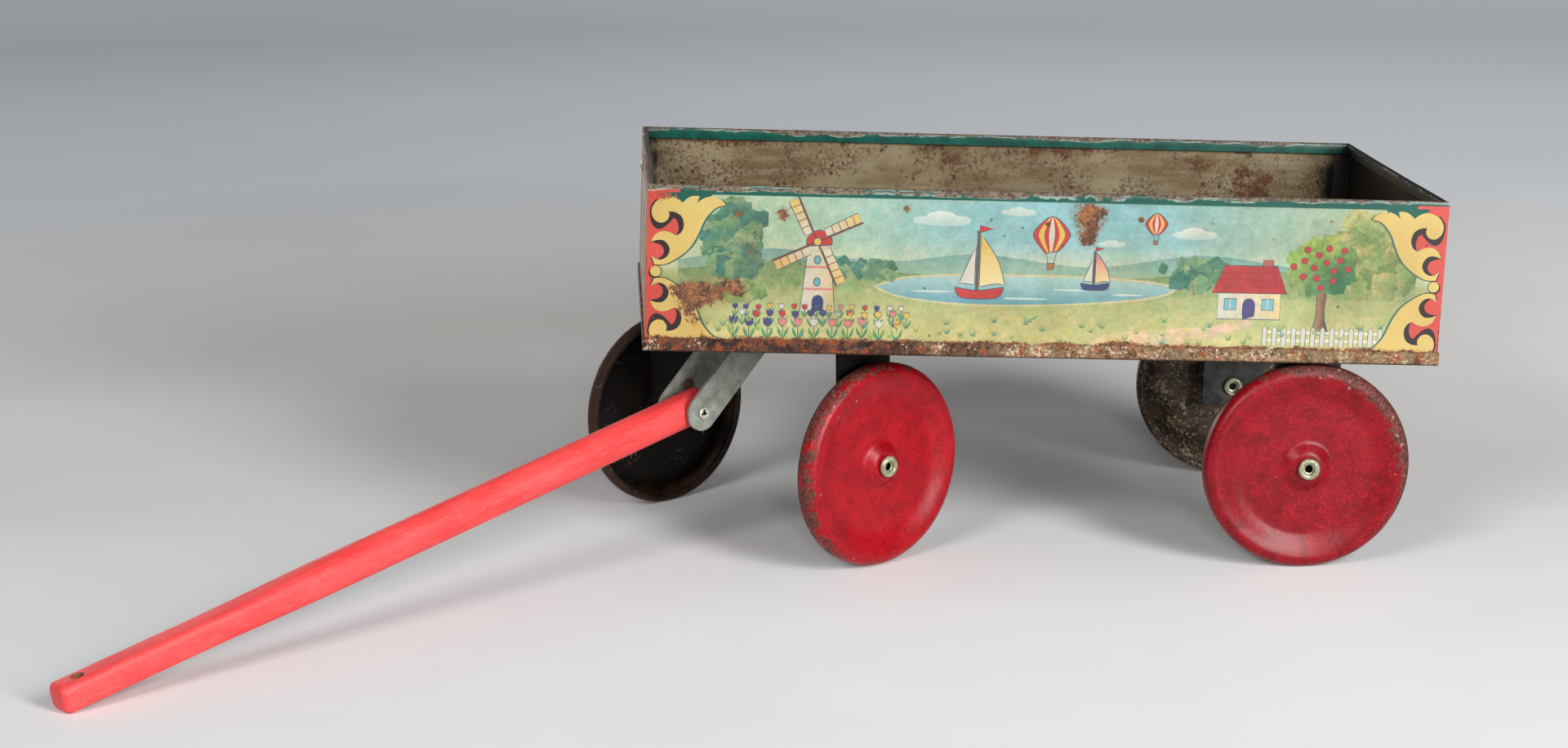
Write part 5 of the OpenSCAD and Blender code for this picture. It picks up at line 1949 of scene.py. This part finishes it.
def floor_finish():
    made, tree, shader, where = new_finish("studio_floor")
    place = add(tree, "ShaderNodeSeparateXYZ", {0: where}).outputs
    squares = muladd(place["X"], place["X"], times(place["Y"], place["Y"]))
    reach = calc("SQRT", squares)
    # Painted light and shade: the paper's colour falls off with the way back and is darkened at the back on the
    # left.
    back_left = times(between(place["X"], *DUSK_X), between(place["Y"], *DUSK_Y))
    dimming = times(back_left, between(reach, *DUSK_REACH))
    level = muladd(dimming, -DUSK, 1.0)
    tones = [(y, tone * COOL_PAPER.lerp(WARM_PAPER, warmth)) for y, tone, warmth in FLOOR_TONES]
    fibre = between(cloudy(where, 120, detail=4), 0.35, 0.65, 0.97, 1.0)
    paper_and_painted_light = scaled(ramp_along(place["Y"], tones), times(level, fibre))
    surface(shader, paper_and_painted_light, between(cloudy(where, 4), 0.3, 0.7, 0.65, 0.75), gloss=0.2)
    glow = ramp_along(reach, [(r, glow * COOL_PAPER) for r, glow in FAR_GLOW])
    join(scaled(glow, level), shader.inputs["Emission Color"])
    shader.inputs["Emission Strength"].default_value = 1.0
    below = add(tree, "ShaderNodeNewGeometry").outputs["Backfacing"]
    clear = add(tree, "ShaderNodeBsdfTransparent").outputs[0]
    sided = add(tree, "ShaderNodeMixShader", {0: below, 1: shader.outputs[0], 2: clear}).outputs[0]
    join(sided, tree.nodes["Material Output"].inputs["Surface"])
    return made


def studio_floor():
    corners = [(-1, -1), (1, -1), (1, 1), (-1, 1)]
    mesh = bpy.data.meshes.new("studio_floor")
    mesh.from_pydata([(x * FLOOR_HALF, y * FLOOR_HALF, 0.0) for x, y in corners], [], [(0, 1, 2, 3)])
    mesh.materials.append(floor_finish())
    made = bpy.data.objects.new("studio_floor", mesh)
    scene.collection.objects.link(made)
    made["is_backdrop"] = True
    return made


ground = studio_floor()
print("floor ready")

# %% [markdown]
# Two large lights in front do most of the work. The tall one on the right is the stronger and throws the
# long shadow back under the tray; the one on the left throws the handle's shadow. A small one over the
# camera and a weak one behind are linked to leave the floor out, so they light only the wagon. A low one
# in front is linked to the floor alone and lightens the shadow under the tray.

# %% Lights
LIT = Vector((0.03, 0.05, 0.05))
NEUTRAL = (1.0, 1.0, 1.0)
ROOM_COLOUR, ROOM_LEVEL = (0.80, 0.82, 0.85, 1.0), 0.17
# Each light: place in metres, width, height, watts, colour, and how it is linked to the floor
LIGHTS = {"right_strip": ((0.78, -1.16, 0.60), 0.40, 0.95, 26.8, (1.0, 0.99, 0.98), None),
          "left_soft": ((-0.82, -1.12, 0.93), 0.60, 0.52, 11.5, (1.0, 0.99, 0.97), None),
          "over_camera": ((0.05, -1.34, 0.86), 0.36, 0.36, 3.8, NEUTRAL, "EXCLUDE"),
          "behind": ((-0.80, 1.40, 0.30), 1.0, 0.40, 4.6, NEUTRAL, "EXCLUDE"),
          "low_front": ((-0.02, -1.55, 0.48), 0.30, 0.17, 9.5, NEUTRAL, "INCLUDE")}


def soft_light(name, place, wide, tall, power, colour):
    light = bpy.data.lights.new(name, "AREA")
    light.shape = "RECTANGLE"
    light.size, light.size_y = wide, tall
    light.energy, light.color = power, colour
    lamp = bpy.data.objects.new(name, light)
    lamp.location = place
    lamp.visible_camera = False
    lamp.rotation_euler = (LIT - Vector(place)).to_track_quat("-Z", "Y").to_euler()
    scene.collection.objects.link(lamp)
    return lamp


def link_to_floor(lamp, rule):
    linked = bpy.data.collections.new(f"floor_{lamp.name}")
    linked.objects.link(ground)
    linked.collection_objects[0].light_linking.link_state = rule
    lamp.light_linking.receiver_collection = linked
    lamp.visible_glossy = rule == "EXCLUDE"


for name, (*kind, rule) in LIGHTS.items():
    lamp = soft_light(name, *kind)
    if rule:
        link_to_floor(lamp, rule)
print(len(LIGHTS), "lights")

# %% Room
scene.world = bpy.data.worlds.new("room")
scene.world.use_nodes = True
room = scene.world.node_tree
dim = room.nodes["Background"]
dim.inputs["Color"].default_value = ROOM_COLOUR
dim.inputs["Strength"].default_value = ROOM_LEVEL
far_wall = add(room, "ShaderNodeBackground", {"Color": (*(FAR_GLOW[-1][1] * COOL_PAPER), 1.0)}).outputs[0]
in_view = add(room, "ShaderNodeLightPath").outputs["Is Camera Ray"]
shown = add(room, "ShaderNodeMixShader", {0: in_view, 1: dim.outputs[0], 2: far_wall}).outputs[0]
join(shown, room.nodes["World Output"].inputs["Surface"])
print("room level", ROOM_LEVEL)

# %% [markdown]
# The camera stands where the photographer's stood: nearly a metre off, a little above, looking slightly
# down with a long lens. Its angles were fitted to the tray's corners, the wheels and the handle.

# %% Camera
CAMERA_AT = Vector((-50.15, -900.19, 275.57)) * MM
YAW, PITCH, ROLL = math.radians(3.311), math.radians(13.068), math.radians(-0.725)
IMAGE_W, FOCAL_PIXELS, SENSOR_W = 1920, 3547.78, 36.0
look = Vector((math.sin(YAW) * math.cos(PITCH), math.cos(YAW) * math.cos(PITCH), -math.sin(PITCH)))
level = Vector((math.cos(YAW), -math.sin(YAW), 0))
rise = level.cross(look)
right = math.cos(ROLL) * level + math.sin(ROLL) * rise
upright = -math.sin(ROLL) * level + math.cos(ROLL) * rise
lens = bpy.data.cameras.new("camera")
lens.sensor_fit = "HORIZONTAL"
lens.sensor_width = SENSOR_W
lens.lens = SENSOR_W * FOCAL_PIXELS / IMAGE_W
camera = bpy.data.objects.new("camera", lens)
camera.matrix_world = Matrix.Translation(CAMERA_AT) @ Matrix((right, upright, -look)).transposed().to_4x4()
scene.collection.objects.link(camera)
scene.camera = camera
print("lens", round(lens.lens, 2), "mm")

# %% Sizes
shown_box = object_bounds()
growth = [round((b - a) / MM, 2) for p, q in zip(cad_box, shown_box) for a, b in zip(p, q)]
print("box grows by", growth, "mm")
